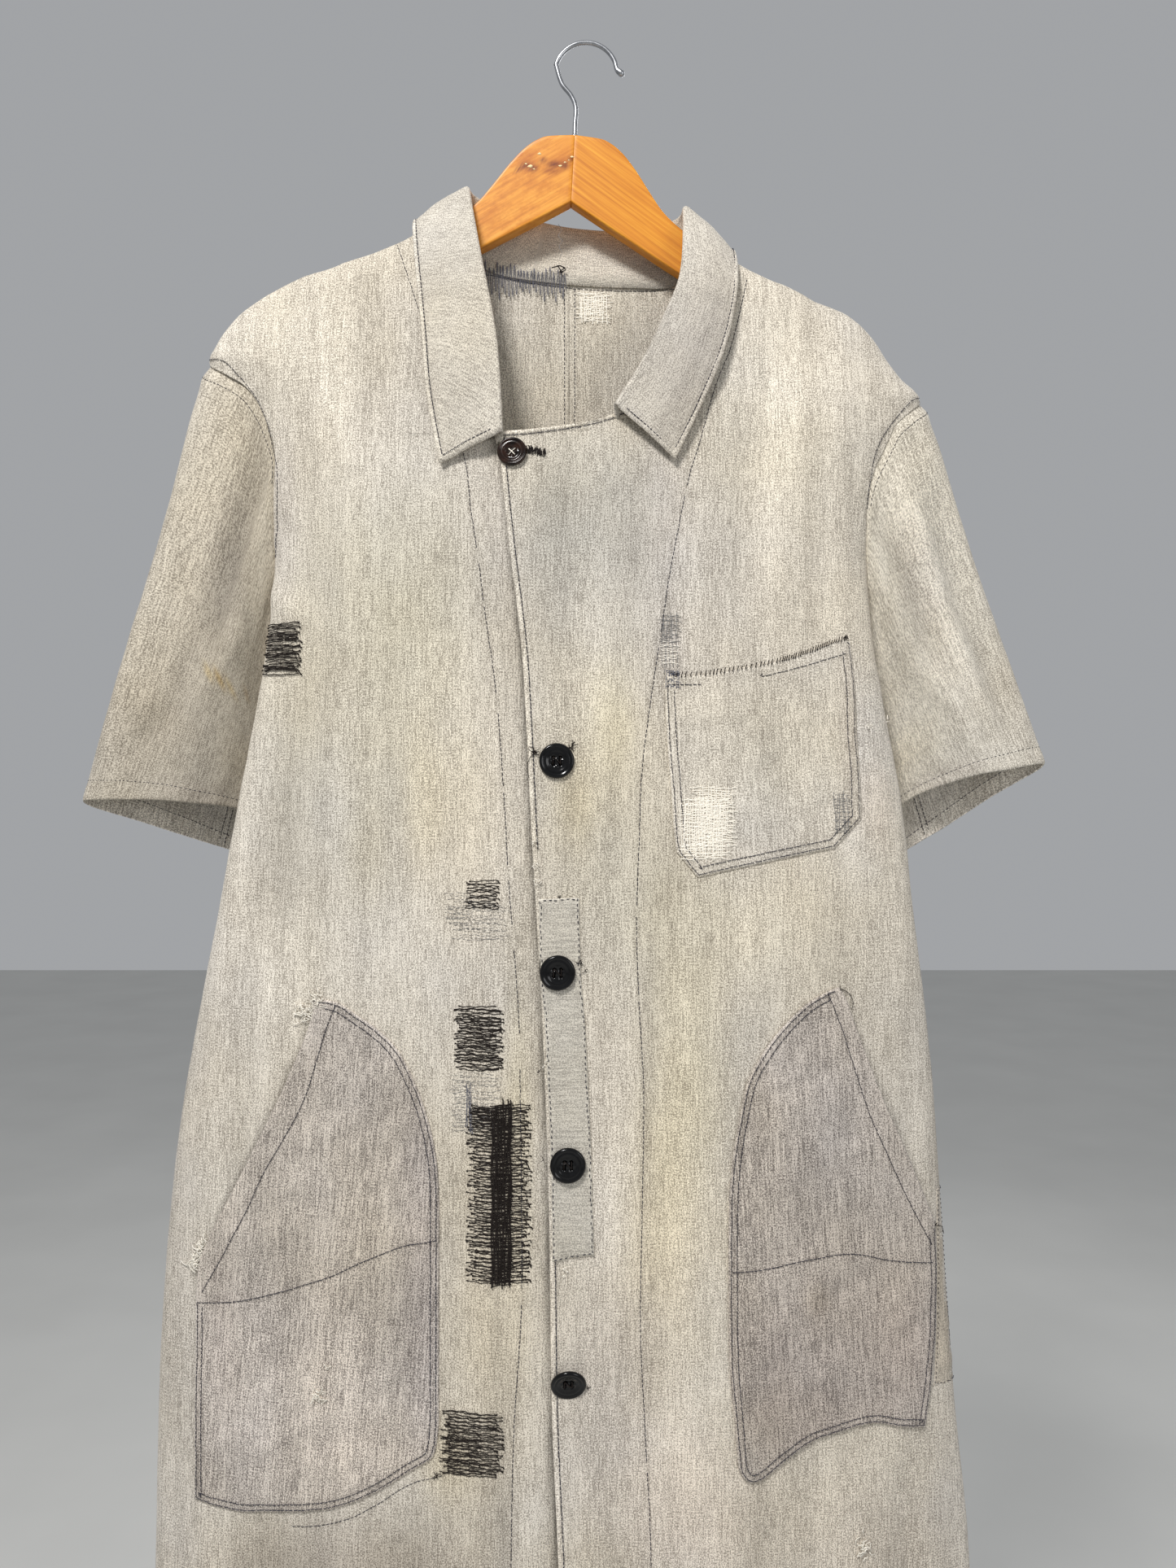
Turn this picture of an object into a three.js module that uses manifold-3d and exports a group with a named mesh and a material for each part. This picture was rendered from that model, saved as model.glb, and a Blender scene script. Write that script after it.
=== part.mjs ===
// A mended short-sleeved work coat, buttoned up and hanging on a wooden hanger.
// Millimetres, +Z up. X runs to the right of someone facing the coat, and the front faces -Y.
// The origin is where a nail or rail carries the hanger: the inside top of the wire hook.
// "right" and "left" in names are the wearer's, so the right front is at negative X.
import * as THREE from "three";
import Module from "manifold-3d";
import { mergeVertices } from "three/addons/utils/BufferGeometryUtils.js";

const wasm = await Module();
wasm.setup();

// ---------------------------------------------------------------- driving dimensions
const CLOTH = 1.6; // thickness of a cloth wall
const SEAM_GAP = 0.3; // between pieces that touch
const SEAM_BACK = 0.5; // how far a panel's edge is drawn back from its seam line
const LAP_DROP = 3.2; // how far the under front lies below the over front
const LAP_RAMP = 26; // width over which the under front sinks to that depth
const CENTRE_X = -11; // centre back seam and centre of every body section
const HEM_Z = -1262;
const SQUARENESS = [[HEM_Z, 0.8], [-300, 0.75], [-236, 0.6], [-130, 0.45]]; // below 1 squares up an oval section
const SIDE_SEAM = 100; // degrees round from centre front
const ARMPIT_Z = -490;

// Half outlines of the body, as [height, x]: side fold, armhole, shoulder tip and shoulder line.
const OUTLINE = {
  right: [
    [HEM_Z, -309], [-1113, -307], [-980, -304], [-826, -293.5], [-732, -280], [-637, -261],
    [-555, -246], [-466, -231.5], [-384, -224], [-314, -236], [-278, -248], [-254, -262],
    [-236, -274], [-225, -268.5], [-208, -256.5], [-194, -241.5], [-182, -220.5],
    [-171, -190.5], [-162, -166.5], [-147, -127.5], [-138, -114.8], [-131, -102.5], [-126, -94],
  ],
  left: [
    [HEM_Z, 283], [-1113, 276.5], [-980, 265], [-861, 257], [-743, 248], [-637, 236],
    [-555, 227.5], [-478, 213], [-437, 207], [-390, 205], [-355, 211], [-320, 226],
    [-290, 240], [-264, 246], [-249, 233], [-237, 223.5], [-218, 210], [-204, 193.5],
    [-194, 169.5], [-182, 145.5], [-168, 118.5], [-160, 104.3], [-150, 93], [-141.5, 81.3],
  ],
};
// Where the front meets the sleeve or the back, as [height, degrees round from centre front].
const SEAM_ANGLE = {
  right: [[ARMPIT_Z, 102], [-430, 96], [-384, 88], [-330, 74], [-300, 68], [-262, 69], [-247, 76], [-236, 90]],
  left: [[ARMPIT_Z, 102], [-440, 97], [-390, 88], [-355, 75], [-320, 68], [-290, 69], [-275, 76], [-264, 90]],
};
const BACK_SEAM_ANGLE = {
  right: [[ARMPIT_Z, 102], [-450, 103.5], [-400, 107], [-330, 112], [-275, 111], [-247, 101], [-236, 90]],
  left: [[ARMPIT_Z, 102], [-455, 103.5], [-410, 107], [-350, 112], [-300, 111], [-275, 101], [-264, 90]],
};
const TIP_Z = { right: -236, left: -264 };
// Middle, front depth and back depth of the body sections, as [height, y middle, front, back].
const DEPTHS = [
  [HEM_Z, -18, 46, 30], [-920, -20, 48, 32], [-680, -20, 46, 32], [-555, -16, 44, 28],
  [-390, -8, 44, 20], [-300, -2, 40, 16], [-236, 0, 31, 15], [-170, 0, 22, 14], [-130, 0, 17, 13],
];
// Front edges, as [height, x].
const OVER_EDGE = [
  [HEM_Z, -13], [-1086, -16.4], [-958, -22], [-846, -25.3], [-734, -27.6], [-622, -32],
  [-529, -35], [-481, -37.7], [-420, -47.2], [-352, -54.5], [-297, -59.6],
];
const UNDER_EDGE = [[HEM_Z, 30], [-900, 27], [-600, 25], [-290, 24]];
// Neckline in front view, from the shoulder down to the end of the collar, as [x, z].
const NECK = {
  right: [[-101, -122], [-97, -150], [-91, -185], [-79, -235], [-66, -283], [-60.5, -297.6]],
  left: [[90, -138], [88, -165], [84, -192], [70, -226], [50, -256], [22.6, -284]],
};
const NECK_BACK = [[-101, -122], [-91, -147], [-76, -156], [-17, -166], [40, -169], [72, -168], [84, -160], [90, -138]];
const LAP_TOP = [[-21.1, -293.7], [-59.6, -297.6]]; // top edge of the over front, past the collar end

const HANGER = {
  apex: [-6.8, 0, -69], tilt: 3.2, thick: 12, grip: 0.3,
  top: [[0, 0], [20, -2], [28, -5.5], [35.5, -11.3], [45, -22], [58, -40], [67.5, -52.4], [76, -60.3], [86, -67.8],
    [100, -78], [116, -88.5], [131, -96.5], [156, -108], [183, -121], [203, -131.5]],
  tip: [[211, -138], [213, -145], [209, -151]],
  bottom: [[203, -153], [180, -143], [130, -122], [85, -99], [0, -49.4]],
};
const WIRE = { r: 1.7, centre: [1.5, -21.3], loop: 23, sides: 10, steps: 40 };
const WIRE_TAIL = [[26.6, -20.3], [29.6, -22.6]]; // past the loop's open end
const WIRE_STEM = [[-20.4, -15.5], [-16.4, -28.4], [-9.4, -37.6], [-6.0, -46.5], [-6.5, -58], [-6.9, -66]];
const BUTTON = { r: 12, thick: 3.6, rim: 2.4, dish: 1.0, hole: 1.0, pitch: 2.6, standoff: 1.6 };
const TOP_BUTTON_R = 10.8;
const BUTTON_PLACES = [[-48.4, -317.3], [-18.4, -529.1], [-17.3, -673.7], [-11.2, -805.5], [-10.6, -953.4]];

const COLOURS = {
  cloth: 0xb5ada1, collar: 0xaaa49b, pocket: 0x9c958f, patch: 0xa39f9b,
  black: 0x17181c, horn: 0x3a2018, wood: 0xc98a45, steel: 0xb8bcc2,
};

// ---------------------------------------------------------------- small tools
const RAD = Math.PI / 180;

// A function through [position, value] pairs that never overshoots them.
function through(pairs) {
  const p = [...pairs].sort((a, b) => a[0] - b[0]);
  const rise = p.slice(1).map((q, i) => (q[1] - p[i][1]) / (q[0] - p[i][0]));
  const slope = p.map((_, i) => {
    if (i === 0) return rise[0];
    if (i === p.length - 1) return rise[i - 1];
    return rise[i - 1] * rise[i] <= 0 ? 0 : (2 * rise[i - 1] * rise[i]) / (rise[i - 1] + rise[i]);
  });
  return (at) => {
    if (at <= p[0][0]) return p[0][1];
    if (at >= p[p.length - 1][0]) return p[p.length - 1][1];
    const i = p.findIndex((q) => q[0] > at) - 1;
    const h = p[i + 1][0] - p[i][0], t = (at - p[i][0]) / h;
    return p[i][1] * (1 + 2 * t) * (1 - t) ** 2 + slope[i] * h * t * (1 - t) ** 2
      + p[i + 1][1] * t * t * (3 - 2 * t) + slope[i + 1] * h * t * t * (t - 1);
  };
}

const smooth = (t) => {
  const c = Math.min(1, Math.max(0, t));
  return c * c * (3 - 2 * c);
};
const steps = (n) => Array.from({ length: n + 1 }, (_, i) => i / n);
const mix = (a, b, t) => a + (b - a) * t;

// Points of a smooth line through 2-D or 3-D points.
function lineThrough(points, n) {
  const curve = new THREE.CatmullRomCurve3(points.map((p) => new THREE.Vector3(p[0], p[1], p[2] ?? 0)), false, "centripetal");
  return curve.getPoints(n);
}

// ---------------------------------------------------------------- the body's form
const outline = { right: through(OUTLINE.right), left: through(OUTLINE.left) };
const squareness = through(SQUARENESS);
const middleY = through(DEPTHS.map((d) => [d[0], d[1]]));
const frontDepth = through(DEPTHS.map((d) => [d[0], d[2]]));
const backDepth = through(DEPTHS.map((d) => [d[0], d[3]]));
const overEdge = through(OVER_EDGE);
const underEdge = through(UNDER_EDGE);
const seamCurve = { right: through(SEAM_ANGLE.right), left: through(SEAM_ANGLE.left) };
const backCurve = { right: through(BACK_SEAM_ANGLE.right), left: through(BACK_SEAM_ANGLE.left) };

const halfWidth = (side, z) => Math.abs(outline[side](z) - CENTRE_X);

// A body point at an angle round from centre front: negative to the wearer's right, positive to the left.
function bodyPoint(angle, z) {
  const side = angle < 0 ? "right" : "left";
  const a = Math.abs(angle) * RAD;
  const reach = Math.abs(Math.cos(a)) ** squareness(z);
  const y = a < Math.PI / 2 ? middleY(z) - frontDepth(z) * reach : middleY(z) + backDepth(z) * reach;
  return new THREE.Vector3(CENTRE_X + Math.sign(angle) * halfWidth(side, z) * Math.sin(a), y, z);
}

const angleOf = (x, z) => {
  const side = x < CENTRE_X ? "right" : "left";
  return Math.asin(Math.max(-1, Math.min(1, (x - CENTRE_X) / halfWidth(side, z)))) / RAD;
};
const frontY = (x, z) => bodyPoint(angleOf(x, z), z).y;

// Degrees round to the front's outer seam, and to the back's.
function frontSeam(side, z) {
  if (z < ARMPIT_Z) return SIDE_SEAM + (seamCurve[side](ARMPIT_Z) - SIDE_SEAM) * smooth((z - ARMPIT_Z + 60) / 60);
  return z > TIP_Z[side] ? 90 : seamCurve[side](z);
}
function backSeam(side, z) {
  if (z < ARMPIT_Z) return frontSeam(side, z);
  return z > TIP_Z[side] ? 90 : backCurve[side](z);
}

// ---------------------------------------------------------------- walls from grids of points
function normalsOf(grid, closed) {
  const last = grid.length - 1;
  return grid.map((row, r) => row.map((_, c) => {
    const n = row.length;
    const along = grid[Math.min(last, r + 1)][c].clone().sub(grid[Math.max(0, r - 1)][c]);
    const next = closed ? row[(c + 1) % n] : row[Math.min(n - 1, c + 1)];
    const before = closed ? row[(c + n - 1) % n] : row[Math.max(0, c - 1)];
    return next.clone().sub(before).cross(along).normalize();
  }));
}

// The closed wall between two distances out from a grid of points. outward 1 or -1 says which way is out.
function wallMesh(grid, from, to, { closed = false, outward = 1 } = {}) {
  const normals = normalsOf(grid, closed);
  const rows = grid.length, cols = grid[0].length;
  const vertices = [];
  for (const distance of [from, to])
    grid.forEach((row, r) => row.forEach((p, c) => {
      const v = p.clone().addScaledVector(normals[r][c], distance * outward);
      vertices.push(v.x, v.y, v.z);
    }));
  const at = (layer, r, c) => layer * rows * cols + r * cols + (c % cols);
  const triangles = [];
  const quad = (a, b, c, d) => triangles.push(a, b, c, a, c, d);
  const spans = closed ? cols : cols - 1;
  for (let r = 0; r < rows - 1; r++)
    for (let c = 0; c < spans; c++) {
      quad(at(1, r, c), at(1, r, c + 1), at(1, r + 1, c + 1), at(1, r + 1, c));
      quad(at(0, r, c), at(0, r + 1, c), at(0, r + 1, c + 1), at(0, r, c + 1));
    }
  for (let c = 0; c < spans; c++) {
    quad(at(0, 0, c), at(0, 0, c + 1), at(1, 0, c + 1), at(1, 0, c));
    quad(at(0, rows - 1, c + 1), at(0, rows - 1, c), at(1, rows - 1, c), at(1, rows - 1, c + 1));
  }
  if (!closed)
    for (let r = 0; r < rows - 1; r++) {
      quad(at(0, r + 1, 0), at(0, r, 0), at(1, r, 0), at(1, r + 1, 0));
      quad(at(0, r, cols - 1), at(0, r + 1, cols - 1), at(1, r + 1, cols - 1), at(1, r, cols - 1));
    }
  if (outward < 0) for (let i = 0; i < triangles.length; i += 3) [triangles[i + 1], triangles[i + 2]] = [triangles[i + 2], triangles[i + 1]];
  return solid(new Float32Array(vertices), new Uint32Array(triangles));
}

function solid(vertProperties, triVerts) {
  return new wasm.Manifold(new wasm.Mesh({ numProp: 3, vertProperties, triVerts }));
}

function solidOf(geometry) {
  const g = geometry.clone();
  g.deleteAttribute("normal");
  g.deleteAttribute("uv");
  const m = mergeVertices(g, 1e-4);
  return solid(new Float32Array(m.attributes.position.array), new Uint32Array(m.index.array));
}

const SLIVER = 0.1; // edges shorter than this are closed up after a cut
function geometryOf(made) {
  const m = made.asOriginal().simplify(SLIVER).getMesh();
  const g = new THREE.BufferGeometry();
  g.setAttribute("position", new THREE.BufferAttribute(new Float32Array(m.vertProperties), 3));
  g.setIndex(new THREE.BufferAttribute(new Uint32Array(m.triVerts), 1));
  g.computeVertexNormals();
  return g;
}

const largest = (made) => made.decompose().sort((a, b) => b.volume() - a.volume())[0];

// A prism along Y over an outline of [x, z] points, from y0 to y1.
function prism(points, y0, y1) {
  const shape = new THREE.Shape(points.map(([x, z]) => new THREE.Vector2(x, z)));
  const g = new THREE.ExtrudeGeometry(shape, { depth: y1 - y0, bevelEnabled: false });
  g.rotateX(Math.PI / 2); // the outline's second coordinate becomes Z, and the depth runs to -Y
  g.translate(0, y1, 0);
  return solidOf(g);
}

const group = new THREE.Group();
function add(name, made, color, roughness = 0.9, metalness = 0) {
  const geometry = made.isBufferGeometry ? made : geometryOf(made);
  const mesh = new THREE.Mesh(geometry, new THREE.MeshStandardMaterial({ color, roughness, metalness }));
  mesh.name = name;
  group.add(mesh);
}

// ---------------------------------------------------------------- body panels
const LOW_ROWS = [HEM_Z, -1180, -1095, -1010, -925, -840, -755, -675, -600, -545, -490, -445, -405, -365, -330, -300];
const HIGH_ROWS = {
  right: [-275, -256, -244, -236, -225, -208, -194, -182, -171, -162, -147, -139, -130],
  left: [-285, -272, -264, -249, -237, -218, -204, -194, -182, -168, -157, -147],
};
const rowsOf = (side) => [...LOW_ROWS, ...HIGH_ROWS[side]];
const FRONT_COLUMNS = 13;
const BACK_COLUMNS = 9;

function gridOf(side, columns, from, to) {
  return rowsOf(side).map((z) => steps(columns - 1).map((s) => bodyPoint(mix(from(z), to(z), s), z)));
}

// Sinks the under front behind the over front, where the two lap.
function sinkUnderLap(grid) {
  for (const row of grid)
    for (const p of row) {
      const inFront = Math.abs(angleOf(p.x, p.z)) < 80;
      if (inFront) p.y += LAP_DROP * smooth((p.x - overEdge(p.z) + LAP_RAMP) / (LAP_RAMP - 6));
    }
  return grid;
}

// The angle a given distance along the section from another angle; a negative distance goes towards the right.
function alongSection(angle, z, distance) {
  const start = bodyPoint(angle, z);
  let near = 0, far = 20 * Math.sign(distance);
  for (let i = 0; i < 24; i++) {
    const half = (near + far) / 2;
    if (bodyPoint(angle + half, z).distanceTo(start) < Math.abs(distance)) near = half;
    else far = half;
  }
  return angle + near;
}

// The four panels, each edge drawn back by a given distance from its seam.
const panelGrids = (back) => ({
  right_front: sinkUnderLap(gridOf("right", FRONT_COLUMNS,
    (z) => alongSection(-frontSeam("right", z), z, back), (z) => angleOf(underEdge(z), z))),
  left_front: gridOf("left", FRONT_COLUMNS,
    (z) => angleOf(overEdge(z), z), (z) => alongSection(frontSeam("left", z), z, -back)),
  right_back: gridOf("right", BACK_COLUMNS,
    (z) => alongSection(-180, z, back), (z) => alongSection(-backSeam("right", z), z, -back)),
  left_back: gridOf("left", BACK_COLUMNS,
    (z) => alongSection(backSeam("left", z), z, back), (z) => alongSection(180, z, -back)),
});
const grids = panelGrids(SEAM_BACK);

// What is kept of each panel in front view: everything on its side of the neckline.
const FAR = 600;
const BELOW = HEM_Z - 40;
const neckLine = (points) => lineThrough(points, 8).map((p) => [p.x, p.y]);
const keep = {
  right_front: [[-FAR, BELOW], [FAR, BELOW], [FAR, -284], [22, -290], ...neckLine(NECK.right).reverse(), [-FAR, -126]],
  left_front: [[-FAR, BELOW], [-FAR, -297.6], LAP_TOP[1], LAP_TOP[0], ...neckLine(NECK.left).reverse(), [FAR, -142], [FAR, BELOW]],
};
const backNeck = neckLine(NECK_BACK);
keep.right_back = [[-FAR, BELOW], [FAR, BELOW], [FAR, -152], ...[...backNeck].reverse(), [-FAR, -126]];
keep.left_back = keep.right_back.map(([x, z]) => (z === -126 ? [x, -133] : z === -152 ? [x, -145] : [x, z]));

const FRONT_REACH = [-200, 60];
for (const [name, grid] of Object.entries(grids)) {
  const wall = wallMesh(grid, -CLOTH / 2, CLOTH / 2);
  add(name, wall.intersect(prism(keep[name], ...FRONT_REACH)), COLOURS.cloth);
}

// ---------------------------------------------------------------- sleeves
const SLEEVE_AROUND = 20;
const SLEEVE_ROWS = 8;
const UNDERARM_EASE = 9; // how far the underarm swings behind the body
// Cuff rings, from the outer fold round the front to the inner fold and back.
const CUFF = {
  right: [[-367.5, 0, -558], [-325, -16, -556], [-285, -15, -558], [-247, 2, -566], [-212, 14, -596],
    [-235, 20, -603], [-277, 21, -591], [-326, 16, -575]],
  left: [[337.5, 0, -531], [308, -15, -534], [276, -15, -540], [236, 1, -558], [206, 14, -590],
    [228, 20, -600], [262, 21, -583], [303, 16, -556]],
};

function armholePoint(side, turn) {
  const sign = side === "right" ? -1 : 1;
  const z = mix(TIP_Z[side], ARMPIT_Z, (1 - Math.cos(turn * 2 * Math.PI)) / 2);
  return bodyPoint(sign * (turn < 0.5 ? frontSeam(side, z) : backSeam(side, z)), z);
}

function sleeveGrid(side) {
  const cuff = new THREE.CatmullRomCurve3(CUFF[side].map((p) => new THREE.Vector3(...p)), true, "centripetal");
  return steps(SLEEVE_ROWS).map((t) => steps(SLEEVE_AROUND).slice(0, -1).map((turn) => {
    const p = armholePoint(side, turn).lerp(cuff.getPoint(turn), t);
    p.y += UNDERARM_EASE * Math.sin(Math.PI * t) * smooth(1 - Math.abs(turn - 0.5) * 4);
    return p;
  }));
}

// Each sleeve is cut back to leave the seam's gap all round the panels it is sewn to.
const clearOf = panelGrids(-SEAM_BACK);
for (const side of ["right", "left"]) {
  const outward = side === "right" ? 1 : -1;
  let made = wallMesh(sleeveGrid(side), -CLOTH / 2, CLOTH / 2, { closed: true, outward });
  const reach = CLOTH / 2 + SEAM_GAP * 2;
  for (const panel of [side + "_front", side + "_back"])
    for (const set of [grids, clearOf]) made = made.subtract(wallMesh(set[panel], -reach, reach));
  add(side + "_sleeve", largest(made), COLOURS.cloth);
}

// ---------------------------------------------------------------- collar
// Its neck seam, fold and outer edge, from the wearer's right point round the back to the left point.
const COLLAR = {
  seam: [[-57.5, -39.5, -296], [-75, -33, -236], [-88, -24, -186], [-99, -10.5, -131], [-97, 10, -129.5], [-72, 15, -149],
    [-17, 16, -161], [38, 16, -164], [66, 15, -161], [86, 11, -146.5], [88, -10.5, -147.5], [80, -24, -191], [67, -32, -222],
    [48, -38, -251], [24.5, -41, -280]],
  fold: [[-52, -45, -288], [-62, -41, -234], [-73, -29, -175], [-84, -9, -116], [-81, 10, -109], [-56, 19, -117],
    [-14, 22, -126], [28, 22, -129], [52, 20, -129], [71, 11, -124], [73, -9, -129], [70, -28, -180], [57, -37, -216],
    [42, -43, -245], [24, -47, -272]],
  edge: [[-99.4, -46, -318], [-110.5, -41, -270], [-115, -34, -220], [-124, -13, -141], [-120, 13, -136], [-86, 21, -160],
    [-20, 24, -176], [42, 24, -179], [84, 22, -177], [107, 14, -156], [110, -13, -159.5], [109, -31, -194],
    [99.6, -40, -237], [83, -45, -278], [66.7, -48, -313.4]],
};
const COLLAR_RINGS = 28;
const ROLL = 3.6; // distance between stand and fall at the fold

function collarGrid() {
  const lines = Object.fromEntries(Object.entries(COLLAR).map(([k, p]) => [k, lineThrough(p, COLLAR_RINGS)]));
  return lines.seam.map((seam, i) => {
    const fold = lines.fold[i], edge = lines.edge[i];
    const along = lines.fold[Math.min(COLLAR_RINGS, i + 1)].clone().sub(lines.fold[Math.max(0, i - 1)]);
    const up = fold.clone().sub(seam).normalize();
    const out = up.clone().cross(along).normalize();
    const top = fold.clone().addScaledVector(out, ROLL);
    const fall = edge.clone().sub(top);
    const bow = (t, lift) => top.clone().addScaledVector(fall, t).addScaledVector(out, lift);
    return [seam, seam.clone().lerp(fold, 0.5), fold,
      fold.clone().addScaledVector(out, ROLL / 2).addScaledVector(up, ROLL / 2), top, bow(0.35, 1.2), bow(0.7, 0.8), edge];
  });
}
add("collar", wallMesh(collarGrid(), -CLOTH / 2, CLOTH / 2), COLOURS.collar);

// ---------------------------------------------------------------- pockets and patches
// An outline in front view, given as a path of straight and curved stretches.
function outlineOf(start, ...stretches) {
  const path = new THREE.Path().moveTo(...start);
  for (const s of stretches)
    if (s.length === 2) path.lineTo(...s);
    else if (s.length === 4) path.quadraticCurveTo(...s);
    else path.bezierCurveTo(...s);
  return path.getPoints(7).map((p) => [p.x, p.y]);
}
const CHEST_POCKET = outlineOf([57, -466], [183, -444], [187.5, -447], [193, -568.5], [176, -590], [79, -609.5],
  [63.5, -594]);
const RIGHT_HIP_POCKET = outlineOf([-187, -692.5], [-125, -697, -97, -800, -98.5, -885], [-98.5, -985],
  [-98.5, -1006, -130, -1018], [-185, -1060, -271.6, -1045], [-270, -903.5]);
const LEFT_HIP_POCKET = outlineOf([176, -686], [118, -708, 99, -810, 99.5, -900], [105, -985],
  [108, -1034, 124, -1029], [160, -985, 238.5, -994.6], [249.5, -884], [247, -860]);
const PLACKET_PATCH = outlineOf([-31, -623], [-3, -622], [0.5, -677], [7.2, -871], [-21, -873], [-26, -734]);
const SIDE_PATCH = outlineOf([249, -832], [265, -832], [275, -972], [245, -972]);

function applique(name, panel, points, layer, color) {
  const from = CLOTH / 2 + SEAM_GAP + layer * (CLOTH + SEAM_GAP);
  const skin = wallMesh(grids[panel], from, from + CLOTH);
  add(name, largest(skin.intersect(prism(points, -200, middleY(points[0][1]) + 4))), color);
}
applique("chest_pocket", "left_front", CHEST_POCKET, 0, COLOURS.cloth);
applique("right_hip_pocket", "right_front", RIGHT_HIP_POCKET, 0, COLOURS.pocket);
applique("side_patch", "left_front", SIDE_PATCH, 0, COLOURS.patch);
applique("left_hip_pocket", "left_front", LEFT_HIP_POCKET, 1, COLOURS.pocket);
applique("placket_patch", "left_front", PLACKET_PATCH, 0, COLOURS.patch);

// ---------------------------------------------------------------- buttons
function buttonSolid(r) {
  const { thick, rim, dish, hole, pitch } = BUTTON;
  const profile = [[0, 0], [r * 0.8, 0], [r, thick * 0.4], [r, thick * 0.75], [r - rim * 0.4, thick],
    [r - rim, thick - dish * 0.4], [r - rim * 1.2, thick - dish], [0, thick - dish]];
  let made = solidOf(new THREE.LatheGeometry(profile.map(([x, y]) => new THREE.Vector2(x, y)), 20));
  for (const [x, z] of [[-1, -1], [-1, 1], [1, -1], [1, 1]]) {
    const drill = new THREE.CylinderGeometry(hole, hole, thick * 3, 6);
    drill.translate((x * pitch) / 2, 0, (z * pitch) / 2);
    made = made.subtract(solidOf(drill));
  }
  return geometryOf(made); // its axis is +Y, and its face looks that way
}

const surfaceAt = (x, z) => new THREE.Vector3(x, frontY(x, z), z);
BUTTON_PLACES.forEach(([x, z], i) => {
  const across = surfaceAt(x + 8, z).sub(surfaceAt(x - 8, z));
  const up = surfaceAt(x, z + 20).sub(surfaceAt(x, z - 20));
  const out = up.cross(across).negate().normalize();
  if (out.y > 0) out.negate();
  const onPatch = z < PLACKET_PATCH[0][1] && z > -873;
  const lift = CLOTH / 2 + BUTTON.standoff + (onPatch ? CLOTH + SEAM_GAP : 0);
  const g = buttonSolid(i === 0 ? TOP_BUTTON_R : BUTTON.r);
  g.applyQuaternion(new THREE.Quaternion().setFromUnitVectors(new THREE.Vector3(0, 1, 0), out));
  const place = surfaceAt(x, z).addScaledVector(out, lift);
  g.translate(place.x, place.y, place.z);
  add("button_" + (i + 1), g, i === 0 ? COLOURS.horn : COLOURS.black, 0.35);
});

// ---------------------------------------------------------------- hanger
function hangerHalf(sign) {
  const top = lineThrough(HANGER.top, 22).map((p) => [p.x, p.y]);
  const points = [...top, ...HANGER.tip, ...HANGER.bottom].map(([x, z]) => [sign * Math.max(x, HANGER.grip / 2), z]);
  const shape = new THREE.Shape((sign > 0 ? points.reverse() : points).map(([x, z]) => new THREE.Vector2(x, z)));
  const bevel = 1;
  const g = new THREE.ExtrudeGeometry(shape, { depth: HANGER.thick, bevelEnabled: false });
  g.rotateX(Math.PI / 2);
  g.translate(0, HANGER.thick / 2, 0);
  g.rotateY(HANGER.tilt * RAD);
  g.translate(...HANGER.apex);
  return solidOf(g);
}

// The wire, from its ball end over the loop and down the stem into the wood.
function hookPath() {
  const [cx, cz] = WIRE.centre;
  const arc = steps(9).map((t) => {
    const a = mix(8, 166, t) * RAD;
    return [cx + WIRE.loop * Math.cos(a), cz + WIRE.loop * Math.sin(a)];
  });
  return [...WIRE_TAIL].reverse().concat(arc, WIRE_STEM).map(([x, z]) => new THREE.Vector3(x, 0, z));
}

function hookSolid() {
  const path = new THREE.CatmullRomCurve3(hookPath(), false, "centripetal");
  const section = new THREE.Shape(steps(WIRE.sides).slice(0, -1).map((t) => {
    const a = t * 2 * Math.PI;
    return new THREE.Vector2(WIRE.r * Math.cos(a), WIRE.r * Math.sin(a));
  }));
  const wire = solidOf(new THREE.ExtrudeGeometry(section, { steps: WIRE.steps, extrudePath: path, bevelEnabled: false }));
  const ball = new THREE.SphereGeometry(WIRE.r * 1.45, 10, 8);
  ball.translate(WIRE_TAIL[1][0], 0, WIRE_TAIL[1][1]);
  return wire.add(solidOf(ball));
}

// The wood is bored for the hook's stem.
const hook = hookSolid();
const bore = new THREE.CylinderGeometry(WIRE.r + SEAM_GAP, WIRE.r + SEAM_GAP, 12, 16);
bore.rotateX(Math.PI / 2);
bore.translate(-6.9, 0, -66);
const drillHole = solidOf(bore);
add("hanger_right", hangerHalf(-1), COLOURS.wood, 0.45);
add("hanger_left", hangerHalf(1), COLOURS.wood, 0.45);
add("hanger_hook", hook, COLOURS.steel, 0.25, 1);

export default group;
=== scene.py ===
"""The mended work coat on its hanger, in the CAD's frame. Lengths are millimetres until a mesh is made."""

import math

import bpy
import numpy as np
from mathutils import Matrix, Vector
from mathutils.geometry import delaunay_2d_cdt


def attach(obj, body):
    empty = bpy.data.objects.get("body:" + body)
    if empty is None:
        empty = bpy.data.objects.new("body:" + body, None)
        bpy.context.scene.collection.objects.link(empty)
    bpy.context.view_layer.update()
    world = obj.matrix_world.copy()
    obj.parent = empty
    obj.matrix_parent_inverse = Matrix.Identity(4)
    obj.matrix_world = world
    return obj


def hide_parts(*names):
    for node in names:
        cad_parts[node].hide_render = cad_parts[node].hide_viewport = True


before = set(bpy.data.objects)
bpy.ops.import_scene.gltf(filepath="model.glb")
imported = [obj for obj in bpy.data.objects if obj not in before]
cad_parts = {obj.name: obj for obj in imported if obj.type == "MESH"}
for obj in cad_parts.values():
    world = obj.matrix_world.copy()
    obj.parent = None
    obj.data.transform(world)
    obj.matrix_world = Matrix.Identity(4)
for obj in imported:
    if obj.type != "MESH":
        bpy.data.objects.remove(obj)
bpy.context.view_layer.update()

MM = 0.001
CLOTH = 1.4
CENTRE = -11.0
HEM = -1262.0
ARMPIT = -490.0
TIP = {"right": -236.0, "left": -264.0}


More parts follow.
